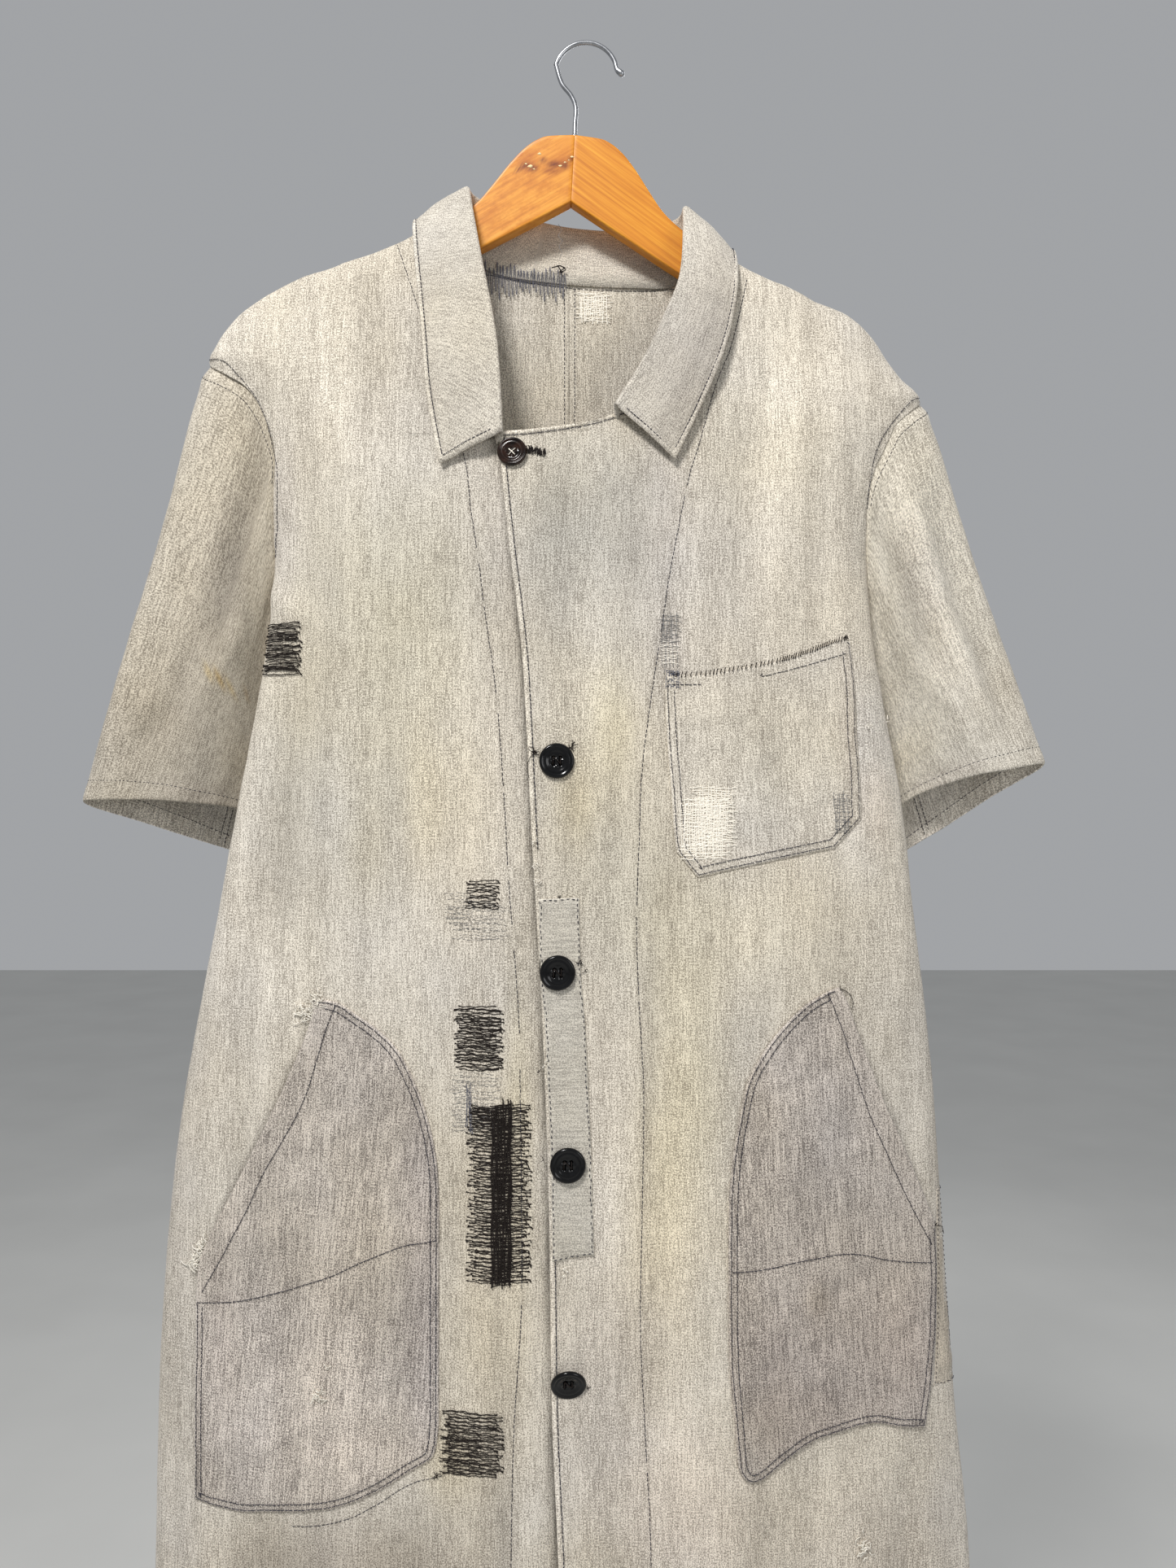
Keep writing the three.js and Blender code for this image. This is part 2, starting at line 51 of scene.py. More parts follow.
# ------------------------------------------------------------------ the coat's form, as in the CAD
def through(pairs):
    """A smooth function through [position, value] pairs that never overshoots them."""
    p = np.array(sorted(pairs), float)
    x, y = p[:, 0], p[:, 1]
    h = np.diff(x)
    rise = np.diff(y) / h
    m = np.zeros(len(x))
    m[0], m[-1] = rise[0], rise[-1]
    for i in range(1, len(x) - 1):
        a, b = rise[i - 1], rise[i]
        m[i] = 0 if a * b <= 0 else 2 * a * b / (a + b)

    def value(at):
        at = np.clip(np.asarray(at, float), x[0], x[-1])
        i = np.clip(np.searchsorted(x, at, side="right") - 1, 0, len(x) - 2)
        t = (at - x[i]) / h[i]
        rest = m[i] * h[i] * t * (1 - t) ** 2 + m[i + 1] * h[i] * t * t * (t - 1)
        return y[i] * (1 + 2 * t) * (1 - t) ** 2 + y[i + 1] * t * t * (3 - 2 * t) + rest

    return value


def smooth(t):
    t = np.clip(t, 0, 1)
    return t * t * (3 - 2 * t)


def bell(far, width):
    return np.exp(-((far / width) ** 2))


OUTLINE = {
    "right": through([
        (HEM, -309), (-1113, -307), (-980, -304), (-826, -293.5), (-732, -280), (-637, -261), (-555, -246),
        (-466, -231.5), (-384, -224), (-314, -236), (-278, -248), (-254, -262), (-236, -274), (-225, -268.5),
        (-208, -256.5), (-194, -241.5), (-182, -220.5), (-171, -190.5), (-162, -166.5), (-147, -127.5),
        (-138, -114.8), (-131, -102.5), (-126, -94)]),
    "left": through([
        (HEM, 283), (-1113, 276.5), (-980, 265), (-861, 257), (-743, 248), (-637, 236), (-555, 227.5),
        (-478, 213), (-437, 207), (-390, 205), (-355, 211), (-320, 226), (-290, 240), (-264, 246),
        (-249, 233), (-237, 223.5), (-218, 210), (-204, 193.5), (-194, 169.5), (-182, 145.5), (-168, 118.5),
        (-160, 104.3), (-150, 93), (-141.5, 81.3)]),
}
FRONT_SEAM = {
    "right": through([(ARMPIT, 102), (-430, 96), (-384, 88), (-330, 74), (-300, 68), (-262, 69), (-247, 76),
                      (-236, 90)]),
    "left": through([(ARMPIT, 102), (-440, 97), (-390, 88), (-355, 75), (-320, 68), (-290, 69), (-275, 76),
                     (-264, 90)]),
}
BACK_SEAM = {
    "right": through([(ARMPIT, 102), (-450, 103.5), (-400, 107), (-330, 112), (-275, 111), (-247, 101),
                      (-236, 90)]),
    "left": through([(ARMPIT, 102), (-455, 103.5), (-410, 107), (-350, 112), (-300, 111), (-275, 101),
                     (-264, 90)]),
}
DEPTHS = [
    (HEM, -18, 46, 30), (-920, -20, 48, 32), (-680, -20, 46, 32), (-555, -16, 44, 28), (-390, -8, 44, 20),
    (-300, -2, 40, 16), (-236, 0, 31, 15), (-170, 0, 22, 14), (-130, 0, 17, 13)]
middle_y = through([d[:2] for d in DEPTHS])
front_depth = through([(d[0], d[2]) for d in DEPTHS])
back_depth = through([(d[0], d[3]) for d in DEPTHS])
squareness = through([(HEM, 0.8), (-300, 0.75), (-236, 0.6), (-130, 0.45)])
over_edge = through([
    (HEM, -13), (-1086, -16.4), (-958, -21.5), (-869, -22.5), (-789, -24.5), (-715, -27.3), (-641, -31.5),
    (-565, -36), (-497, -39.4), (-460, -41.7), (-422, -45.8), (-377, -51.6), (-332, -56.5), (-297, -59.6)])
NECK = {
    "right": [(-101, -122), (-97, -150), (-91, -185), (-79, -235), (-66, -283), (-60.5, -297.6)],
    "left": [(90, -138), (88, -165), (84, -192), (70, -226), (50, -256), (22.6, -284), (-21.1, -293.7),
             (-59.6, -297.6)],
}
NECK_BACK = [(-101, -122), (-91, -147), (-76, -156), (-17, -166), (40, -169), (72, -168), (84, -160),
    (90, -138)]


def half_width(side, z):
    return np.abs(OUTLINE[side](z) - CENTRE)


def body(angle, z):
    """Points of the body: angle in degrees round from centre front, negative to the wearer's right."""
    angle, z = np.broadcast_arrays(np.asarray(angle, float), np.asarray(z, float))
    turn = np.radians(np.abs(angle))
    c = np.cos(turn)
    reach = np.abs(c) ** squareness(z)
    y = middle_y(z) + np.where(c > 0, -front_depth(z), back_depth(z)) * reach
    wide = np.where(angle < 0, half_width("right", z), half_width("left", z))
    return np.stack([CENTRE + np.sign(angle) * wide * np.sin(turn), y, z], -1)


def angle_of(x, z):
    wide = np.where(np.asarray(x) < CENTRE, half_width("right", z), half_width("left", z))
    return np.degrees(np.arcsin(np.clip((x - CENTRE) / wide, -1, 1)))


def unit(v):
    return v / np.maximum(np.linalg.norm(v, axis=-1, keepdims=True), 1e-9)


def outward(angle, z):
    across = body(angle + 0.3, z) - body(angle - 0.3, z)
    return unit(np.cross(across, body(angle, z + 1.5) - body(angle, z - 1.5)))


def front_seam(side, z):
    low = 100 + (FRONT_SEAM[side](ARMPIT) - 100) * smooth((z - ARMPIT + 60) / 60)
    return np.where(z < ARMPIT, low, np.where(z > TIP[side], 90.0, FRONT_SEAM[side](z)))


def back_seam(side, z):
    return np.where(z < ARMPIT, front_seam(side, z), np.where(z > TIP[side], 90.0, BACK_SEAM[side](z)))


# ------------------------------------------------------------------ folds, ripples and tones
def between(a, b, c, d, t):
    """A place from b to c, t of the way along, on the smooth curve through a, b, c and d."""
    return 0.5 * (2 * b + (c - a) * t + (2 * a - 5 * b + 4 * c - d) * t * t + (3 * b - a - 3 * c + d) * t**3)


def curve(points, step=4.0):
    """A smooth line through points, resampled at about step apart."""
    p = np.array(points, float)
    p = np.vstack([2 * p[0] - p[1], p, 2 * p[-1] - p[-2]])
    out = []
    for i in range(1, len(p) - 2):
        n = max(2, int(np.linalg.norm(p[i + 1] - p[i]) / step))
        for t in np.arange(n) / n:
            out.append(between(p[i - 1], p[i], p[i + 1], p[i + 2], t))
    out.append(p[-2])
    return np.array(out)


def travelled(line):
    """How far along a line each of its points is."""
    return np.concatenate([[0], np.cumsum(np.linalg.norm(np.diff(line, axis=0), axis=1))])


def reach_of(x, z, line):
    """Distance from each point to a line, and how far along it the nearest place is, 0 to 1."""
    line = np.array(line, float)
    best, along = np.full(np.shape(x), 1e9), np.zeros(np.shape(x))
    total = np.linalg.norm(np.diff(line, axis=0), axis=1)
    at = np.concatenate([[0], np.cumsum(total)]) / max(total.sum(), 1e-9)
    for i, (a, b) in enumerate(zip(line[:-1], line[1:])):
        d = b - a
        t = np.clip(((x - a[0]) * d[0] + (z - a[1]) * d[1]) / max(d @ d, 1e-9), 0, 1)
        far = np.hypot(x - a[0] - t * d[0], z - a[1] - t * d[1])
        near = far < best
        best, along = np.where(near, far, best), np.where(near, at[i] + t * (at[i + 1] - at[i]), along)
    return best, along


def creased(x, z, folds):
    """The height of soft folds: each is (width, height, line), highest at the middle of its line."""
    total = np.zeros(np.shape(x))
    for width, height, line in folds:
        p = np.array(line, float)
        low, high = p.min(0) - 3 * width, p.max(0) + 3 * width
        near = (x > low[0]) & (x < high[0]) & (z > low[1]) & (z < high[1])
        if near.any():
            far, along = reach_of(x[near], z[near], line)
            total[near] += height * bell(far, width) * (0.25 + 0.75 * np.sin(np.pi * along) ** 0.6)
    return total


def ripple(x, z, size_x, size_z, seed):
    """Smooth random waves from -1 to 1."""
    grid = np.random.default_rng(seed).uniform(-1, 1, (61, 61))
    u, v = np.asarray(x) / size_x + 300, np.asarray(z) / size_z + 300
    i, j = np.floor(u).astype(int), np.floor(v).astype(int)
    a, b = smooth(u - i), smooth(v - j)
    i, j = i % 60, j % 60
    top = grid[i, j] * (1 - a) + grid[i + 1, j] * a
    return top * (1 - b) + (grid[i, j + 1] * (1 - a) + grid[i + 1, j + 1] * a) * b


ARMHOLE = {"right": curve([(-272, -234), (-258.6, -238), (-247, -249.8), (-235.4, -265), (-228.1, -280.5),
    (-223.2, -297.7), (-219.4, -318.2), (-218.8, -358), (-221, -384)]),
    "left": curve([(244, -262), (236.3, -266), (227.1, -276.6), (215.4, -291.7), (208, -306.4),
    (204.5, -323.1), (202.4, -343.8), (206, -383)]),}
FACING = {"right": curve([(-135.1, -153.9), (-121.6, -195.1), (-102.4, -254.1), (-83.8, -316.2),
    (-78.5, -355), (-73.7, -384), (-69, -421.1), (-60.2, -484), (-54.4, -559.2), (-52, -601.6),
    (-47.3, -663.1), (-43.9, -715.7), (-43.3, -761.7), (-42.2, -894.9), (-47.2, -981), (-49.5, -1079.8),
    (-50.5, -1255)]), "left": curve([(118, -179.4), (112.4, -204.4), (104.9, -233.5), (93.9, -261.3),
    (81.1, -306), (72.8, -333.8), (60.4, -395.3), (53.5, -440.4), (46.6, -485.7), (40.3, -534.1),
    (37.9, -587.7), (36.1, -641), (37.7, -693.6), (40.2, -736.3), (41, -767.9), (39.9, -842), (38.8, -920),
    (43.2, -1009.1), (46, -1080.1), (47, -1255)]),}

FOLDS = {
    "right": [
        (20, 2.2, [(-150, -300), (-158, -420), (-168, -560), (-178, -690)]),
        (15, -1.6, [(-190, -300), (-196, -420), (-206, -540), (-220, -660)]),
        (22, 1.6, [(-112, -330), (-108, -460), (-112, -620), (-116, -720)]),
        (13, -1.5, [(-88, -560), (-80, -680), (-78, -800), (-76, -960)]),
        (16, 2.0, [(-70, -600), (-66, -720), (-64, -860), (-68, -1010)]),
        (10, -1.4, [(-52, -640), (-48, -760), (-46, -880)]),
        (18, 1.7, [(-230, -470), (-240, -560), (-252, -640), (-262, -700)]),
        (14, -1.5, [(-214, -480), (-226, -580), (-240, -690)]),
        (30, 2.4, [(-200, -200), (-190, -250), (-170, -330)]),
        (16, -1.3, [(-150, -180), (-146, -240), (-150, -310)]),
        (16, 1.8, [(-90, -1060), (-86, -1140), (-84, -1240)]),
        (14, -2.2, [(-112, -1050), (-116, -1130), (-120, -1250)]),
        (18, 2.4, [(-160, -1060), (-165, -1150), (-170, -1255)]),
        (18, -2.0, [(-210, -1065), (-216, -1160), (-222, -1255)]),
        (22, 2.0, [(-262, -1060), (-266, -1160), (-270, -1255)]),
        (9, 1.2, [(-232, -400), (-214, -418), (-196, -428)]),
    ],
    "left": [
        (18, 1.8, [(150, -240), (146, -330), (140, -420)]),
        (14, -1.5, [(120, -250), (112, -340), (104, -430)]),
        (22, 1.6, [(20, -340), (10, -430), (6, -520)]),
        (16, -1.2, [(-14, -340), (-18, -430), (-14, -510)]),
        (14, 1.4, [(74, -640), (72, -760), (70, -900), (72, -1040)]),
        (12, -1.5, [(56, -620), (54, -760), (56, -900), (60, -1060)]),
        (14, 1.2, [(24, -620), (24, -760), (26, -940)]),
        (20, 1.6, [(196, -400), (206, -500), (216, -600), (224, -700)]),
        (15, -1.4, [(170, -620), (180, -680), (200, -760)]),
        (18, 1.8, [(120, -620), (118, -680), (110, -720)]),
        (16, -1.6, [(20, -1000), (22, -1100), (24, -1250)]),
        (16, 2.0, [(90, -1060), (92, -1150), (96, -1255)]),
        (14, -2.0, [(124, -1050), (130, -1150), (136, -1255)]),
        (18, 2.0, [(176, -1030), (184, -1140), (190, -1255)]),
        (15, -1.6, [(218, -1020), (226, -1140), (232, -1255)]),
        (24, 2.0, [(180, -205), (172, -260), (168, -330)]),
        (8, 1.0, [(14, -296), (10, -330), (0, -372)]),
        (9, -0.9, [(-10, -300), (-14, -340), (-16, -380)]),
    ],
}
GAPE = through([(HEM, 4.0), (-1100, 4.6), (-1010, 4.2), (-955, 1.0), (-880, 4.4), (-806, 1.2), (-745, 4.0),
    (-674, 1.2), (-600, 3.4), (-548, 2.4), (-500, 4.4), (-440, 3.6), (-385, 1.0), (-318, 0.2), (-297, 0.8)])


def shape(side, x, z):
    """How far the front's cloth stands out from the plain form, at the front."""
    d = 2.3 * creased(x, z, FOLDS[side])
    if side == "right":
        covered = smooth((x - over_edge(z) + 12) / 14)
        d += covered * (2.3 * creased(x, z, FOLDS["left"]) - d)
    d += 1.3 * ripple(x, z, 38, 150, 3) + 0.7 * ripple(x, z, 17, 90, 5) + 0.28 * ripple(x, z, 8, 16, 7)
    d += 1.1 * ripple(x, z, 13, 260, 9) * smooth((-960 - z) / 120)
    far, _ = reach_of(x, z, FACING[side][::4])
    d += 0.5 * ripple(x, z, 30, 9, 11) * bell(far, 7) - 0.35 * bell(far, 3)
    far, _ = reach_of(x, z, ARMHOLE[side])
    d += 0.6 * ripple(x, z, 9, 9, 13) * bell(far, 8)
    if side == "right":
        d -= 3.2 * smooth((x - over_edge(z) + 26) / 20)
        d += 1.6 * bell(x - over_edge(z) + 17, 8) * smooth((-330 - z) / 60)
    else:
        d += GAPE(z) * smooth(1 - (x - over_edge(z)) / 17)
        d += 0.5 * ripple(x, z, 40, 11, 17) * smooth(1 - (x - over_edge(z)) / 14)
    far = np.abs(z - HEM)
    return d * smooth((far + 4) / 10) + 0.7 * smooth(1 - far / 22)


def raised(side, angle, z, lift=0.0):
    """Points of a front panel at a height above its cloth's middle."""
    angle, z = np.broadcast_arrays(np.asarray(angle, float), np.asarray(z, float))
    p = body(angle, z)
    here = (shape(side, p[..., 0], z) * smooth((96 - np.abs(angle)) / 18) + lift)[..., None]
    return p + outward(angle, z) * here


def front(side, x, z, lift=0.0):
    return raised(side, angle_of(x, z), z, lift)


def behind(angle, z, lift=0.0):
    """Points of the back panels."""
    p = body(angle, z)
    x = p[..., 0]
    d = 1.0 * ripple(x, z, 60, 150, 21) + 0.5 * ripple(x, z, 22, 70, 23)
    d += creased(x, z, [(26, -2.4, [(-120, -240), (-60, -420), (-30, -620)]),
        (26, 2.4, [(-170, -280), (-120, -460), (-90, -700)]),
        (24, -2.2, [(96, -260), (44, -430), (12, -640)]), (26, 2.4, [(150, -300), (100, -480), (66, -720)]),
        (24, 2.6, [(-200, -700), (-206, -900), (-212, -1240)]),
        (24, -2.6, [(-140, -760), (-144, -950), (-150, -1240)]),
        (24, 2.6, [(170, -720), (178, -900), (186, -1240)]),
        (24, -2.4, [(110, -760), (112, -950), (118, -1240)]),
        (22, 2.2, [(40, -800), (40, -1000), (42, -1240)]),
        (22, 2.2, [(-70, -800), (-72, -1000), (-74, -1240)]),])
    d = 1.9 * d
    calm = smooth((np.abs(angle) - 92) / 25) * smooth((-150 - z) / 60)
    d += 0.7 * smooth(1 - np.abs(x - CENTRE - 3.5) / 4.5) * smooth((-165 - z) / 20) * (np.abs(angle) > 90)
    return p + outward(angle, z) * (d * calm + lift)[..., None]


def on_back(angle, z, lift):
    """Points at a height above the back's cloth, which sinks under the front's at the side seams."""
    return behind(angle, z, lift - 0.9 + 1.2 * smooth((np.abs(angle) - 100) / 6))


# ------------------------------------------------------------------ materials
def material(name):
    m = bpy.data.materials.new(name)
    m.use_nodes = True
    return m, m.node_tree, m.node_tree.nodes["Principled BSDF"]


def maths(tree, kind, a, b=None):
    n = tree.nodes.new("ShaderNodeMath")
    n.operation = kind
    for k, v in enumerate((a, b)):
        if v is None:
            continue
        if isinstance(v, (int, float)):
            n.inputs[k].default_value = v
        else:
            tree.links.new(v, n.inputs[k])
    return n.outputs[0]


def times(tree, a, b):
    return maths(tree, "MULTIPLY", a, b)


def plus(tree, a, b):
    return maths(tree, "ADD", a, b)


def attribute(tree, name, output):
    n = tree.nodes.new("ShaderNodeAttribute")
    n.attribute_name = name
    return n.outputs[output]


def add_bump(tree, shader, height, strength, distance):
    n = tree.nodes.new("ShaderNodeBump")
    n.inputs["Strength"].default_value = strength
    n.inputs["Distance"].default_value = distance
    tree.links.new(height, n.inputs["Height"])
    tree.links.new(n.outputs[0], shader.inputs["Normal"])


def noise(tree, vector, scale, detail=2.0, rough=0.5, seed=0.0):
    """Noise with its own scale each way, from 0 to 1."""
    m = tree.nodes.new("ShaderNodeMapping")
    m.inputs["Scale"].default_value = scale
    m.inputs["Location"].default_value = (seed * 7.3, seed * 3.1, seed)
    tree.links.new(vector, m.inputs["Vector"])
    n = tree.nodes.new("ShaderNodeTexNoise")
    n.inputs["Scale"].default_value = 1.0
    n.inputs["Detail"].default_value = detail
    n.inputs["Roughness"].default_value = rough
    tree.links.new(m.outputs[0], n.inputs["Vector"])
    return n.outputs["Fac"]


def ramp(tree, factor, stops):
    r = tree.nodes.new("ShaderNodeValToRGB")
    e = r.color_ramp.elements
    while len(e) < len(stops):
        e.new(0.5)
    for el, (at, colour) in zip(e, stops):
        el.position = at
        el.color = (*colour, 1)
    tree.links.new(factor, r.inputs[0])
    return r.outputs[0]


def blend(tree, kind, factor, a, b):
    n = tree.nodes.new("ShaderNodeMix")
    n.data_type = "RGBA"
    n.blend_type = kind
    for socket, v in ((n.inputs[0], factor), (n.inputs[6], a), (n.inputs[7], b)):
        if isinstance(v, (int, float)):
            socket.default_value = v
        elif isinstance(v, tuple):
            socket.default_value = (*v, 1)
        else:
            tree.links.new(v, socket)
    return n.outputs[2]


def cloth(name, dark, light, slub=1.0, seed=0.0):
    """Slubbed plain weave. grain holds millimetres across and along the warp, and tone the worn and stained
    places together with painted light and shade.
    """
    m, tree, shader = material(name)
    v = attribute(tree, "grain", "Vector")
    warp = noise(tree, v, (0.8, 0.03, 1), 3.0, 0.6, seed + 1)
    warp_fine = noise(tree, v, (1.15, 0.11, 1), 2.0, 0.6, seed + 2)
    weft = noise(tree, v, (0.045, 0.85, 1), 2.0, 0.6, seed + 3)
    heather = noise(tree, v, (1.2, 0.9, 1), 2.0, 0.75, seed + 4)
    band = noise(tree, v, (0.07, 0.004, 1), 3.0, 0.55, seed + 5)
    cloud = noise(tree, v, (0.016, 0.009, 1), 3.0, 0.55, seed + 6)
    mix = None
    for source, share in ((warp, 0.6 * slub), (warp_fine, 0.75), (weft, 0.22), (heather, 2.1), (band, 0.3),
            (cloud, 0.25)):
        part = times(tree, maths(tree, "SUBTRACT", source, 0.5), share)
        mix = part if mix is None else plus(tree, mix, part)
    fac = plus(tree, times(tree, mix, 1.75), 0.5)
    base = ramp(tree, fac, [(0.08, dark), (0.5, tuple((a + b) / 2 for a, b in zip(dark, light))),
        (0.92, light)])
    warm = noise(tree, v, (0.012, 0.008, 1), 2.0, 0.5, seed + 8)
    base = blend(tree, "MULTIPLY", 1.0, base,
        ramp(tree, warm, [(0.3, (1.0, 1.0, 1.02)), (0.7, (1.0, 0.975, 0.93))]))
    base = blend(tree, "MULTIPLY", 1.0, base, attribute(tree, "tone", "Color"))
    tree.links.new(base, shader.inputs["Base Color"])
    thread = plus(tree, times(tree, warp_fine, 0.8), times(tree, weft, 0.7))
    wave = []
    for turn in ((math.tau / 0.9, 0, 0), (0, math.tau / 0.9, 0)):
        dot = tree.nodes.new("ShaderNodeVectorMath")
        dot.operation = "DOT_PRODUCT"
        dot.inputs[1].default_value = turn
        tree.links.new(v, dot.inputs[0])
        wave.append(maths(tree, "SINE", dot.outputs["Value"]))
    weave = times(tree, times(tree, wave[0], wave[1]), 0.12)
    thread = plus(tree, plus(tree, thread, times(tree, heather, 0.9)), weave)
    add_bump(tree, shader, thread, 0.55, 0.00045)
    rough = plus(tree, times(tree, heather, 0.12), 0.84)
    tree.links.new(rough, shader.inputs["Roughness"])
    shader.inputs["Specular IOR Level"].default_value = 0.18
    shader.inputs["Sheen Weight"].default_value = 0.12
    shader.inputs["Sheen Roughness"].default_value = 0.5
    return m


def plain(name, colour, vary=0.25, roughness=0.7, metal=0.0, scale=900.0, bump=0.2, coat=0.0, shine=0.5):
    m, tree, shader = material(name)
    place = tree.nodes.new("ShaderNodeTexCoord")
    n = noise(tree, place.outputs["Object"], (scale, scale, scale), 3.0)
    low = tuple(c * (1 - vary) for c in colour)
    high = tuple(min(1, c * (1 + vary)) for c in colour)
    tree.links.new(ramp(tree, n, [(0.3, low), (0.7, high)]), shader.inputs["Base Color"])
    tree.links.new(plus(tree, times(tree, n, 0.15), roughness - 0.07), shader.inputs["Roughness"])
    add_bump(tree, shader, n, bump, 0.0002)
    shader.inputs["Metallic"].default_value = metal
    shader.inputs["Coat Weight"].default_value = coat
    shader.inputs["Specular IOR Level"].default_value = shine
    return m


def wood(name, burl):
    """Varnished wood: grain holds millimetres along and across the arm."""
    m, tree, shader = material(name)
    v = attribute(tree, "grain", "Vector")
    long = noise(tree, v, (0.012, 0.55, 0.3), 3.0, 0.55, 1)
    fine = noise(tree, v, (0.05, 2.6, 1.0), 2.0, 0.6, 2)
    cloud = noise(tree, v, (0.03, 0.06, 0.05), 3.0, 0.6, 3)
    f = plus(tree, times(tree, long, 0.55 if burl else 0.85), times(tree, fine, 0.2))
    f = plus(tree, f, times(tree, cloud, 0.45 if burl else 0.15))
    base = ramp(tree, f, [(0.36, (0.50, 0.15, 0.014) if burl else (0.50, 0.155, 0.010)),
                                  (0.6, (0.76, 0.305, 0.033) if burl else (0.68, 0.25, 0.018)),
                                  (0.82, (0.87, 0.44, 0.072) if burl else (0.80, 0.35, 0.032))])
    if burl:
        swirl = noise(tree, v, (0.06, 0.1, 0.08), 5.0, 0.7, 5)
        base = blend(tree, "MULTIPLY", 1.0, base,
            ramp(tree, swirl, [(0.36, (0.82, 0.7, 0.55)), (0.55, (1.0, 1.0, 1.0))]))
        base = blend(tree, "MULTIPLY", 1.0, base, attribute(tree, "tone", "Color"))
    tree.links.new(base, shader.inputs["Base Color"])
    tree.links.new(plus(tree, times(tree, fine, 0.16), 0.3), shader.inputs["Roughness"])
    add_bump(tree, shader, fine, 0.12, 0.0003)
    shader.inputs["Specular IOR Level"].default_value = 0.35
    shader.inputs["Coat Weight"].default_value = 0.08
    shader.inputs["Coat Roughness"].default_value = 0.25
    return m


COAT = cloth("coat_cloth", (0.300, 0.268, 0.224), (0.890, 0.832, 0.724))
COLLAR = cloth("collar_cloth", (0.300, 0.272, 0.234), (0.806, 0.757, 0.655), 0.6, 3)
POCKET = cloth("pocket_cloth", (0.165, 0.145, 0.130), (0.735, 0.672, 0.598), 1.4, 5)
PATCH = cloth("patch_cloth", (0.340, 0.318, 0.278), (0.740, 0.700, 0.610), 1.2, 7)
INK = plain("dark_thread", (0.030, 0.030, 0.048), 0.4, 0.85, 0, 3000, shine=0.2)
BLACK_WOOL = plain("darning_thread", (0.020, 0.015, 0.013), 0.5, 0.9, 0, 3000, shine=0.2)
GREY_THREAD = plain("grey_thread", (0.27, 0.265, 0.26), 0.3, 0.85, 0, 3000)
BLUE_THREAD = plain("blue_grey_thread", (0.115, 0.12, 0.16), 0.3, 0.85, 0, 3000)
WHITE_THREAD = plain("white_thread", (0.95, 0.90, 0.80), 0.05, 0.85, 0, 3000)
BUTTON_BLACK = plain("black_button", (0.003, 0.003, 0.0035), 0.3, 0.14, 0, 500, 0.06, 0.0, 0.32)
BUTTON_HORN = plain("horn_button", (0.016, 0.0058, 0.0026), 0.95, 0.18, 0, 170, 0.08, 0.0, 0.35)
STEEL = plain("hook_steel", (0.40, 0.41, 0.43), 0.15, 0.28, 1.0, 300, 0.1)
WOOD_BURL = wood("burl_wood", True)
WOOD_STRAIGHT = wood("straight_wood", False)


# ------------------------------------------------------------------ meshes
def make(name, verts, faces, mat, nodes=(), grain=None, tone=None, thick=None, out=0.0):
    """A piece from points in millimetres. thick gives cloth its thickness, out 1 all of it inwards."""
    mesh = bpy.data.meshes.new(name)
    verts = np.asarray(verts, float).reshape(-1, 3)
    mesh.from_pydata((verts * MM).tolist(), [], faces if isinstance(faces, list) else faces.tolist())
    mesh.update()
    if grain is not None:
        a = mesh.attributes.new("grain", "FLOAT_VECTOR", "POINT")
        g = np.zeros((len(verts), 3), np.float32)
        g[:, : np.shape(grain)[-1]] = np.asarray(grain, float).reshape(len(verts), -1)
        a.data.foreach_set("vector", g.ravel())
        t = np.ones((len(verts), 4), np.float32)
        if tone is not None:
            t[:, :3] = np.asarray(tone, float).reshape(-1, 3)
        a = mesh.attributes.new("tone", "FLOAT_COLOR", "POINT")
        a.data.foreach_set("color", t.ravel())
    mesh.materials.append(mat)
    mesh.polygons.foreach_set("use_smooth", [True] * len(mesh.polygons))
    obj = bpy.data.objects.new(name, mesh)
    bpy.context.collection.objects.link(obj)
    if thick:
        s = obj.modifiers.new("cloth", "SOLIDIFY")
        s.thickness = thick * MM
        s.offset = out
        s.use_quality_normals = True
    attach(obj, "root")
    if nodes:
        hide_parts(*nodes)
    return obj


def quads(rows, cols, ring=False, flip=False):
    r, c = np.meshgrid(np.arange(rows - 1), np.arange(cols if ring else cols - 1), indexing="ij")
    r, c = r.ravel(), c.ravel()
    d = (c + 1) % cols
    f = np.stack([r * cols + c, r * cols + d, (r + 1) * cols + d, (r + 1) * cols + c], -1)
    return f[:, ::-1] if flip else f


def arcs(z):
    """For each height, the distance along the body's section from centre front, over angles -180 to 180."""
    angles = np.linspace(-180, 180, 1441)
    p = body(angles[None, :], np.asarray(z)[:, None])
    length = np.linalg.norm(np.diff(p, axis=1), axis=-1)
    total = np.concatenate([np.zeros((len(p), 1)), np.cumsum(length, 1)], 1)
    return angles, total - total[:, [720]]


def panel(z, start, end, spacing, near_start=(), near_end=()):
    """Angles and distances for rows of points from angle start to end, closer together near the two edges."""
    angles, far = arcs(z)
    a = np.array([np.interp(s, angles, f) for s, f in zip(start, far)])
    b = np.array([np.interp(s, angles, f) for s, f in zip(end, far)])
    near_start, near_end = np.array(near_start or [0.0]), np.array(near_end or [0.0])
    length = b - a
    count = int((length.max() - near_start[-1] - near_end[-1]) / spacing)
    share = np.minimum(1, np.maximum(length, 0.5) / (3 * (near_start[-1] + near_end[-1]) + 1))
    at = []
    for i in range(len(z)):
        first, last = a[i] + near_start * share[i], b[i] - near_end[::-1] * share[i]
        middle = np.linspace(first[-1], last[0], count + 1)[1:-1]
        at.append(np.concatenate([first, middle, last]))
    at = np.array(at)
    angle = np.array([np.interp(d, f, angles) for d, f in zip(at, far)])
    return angle, at


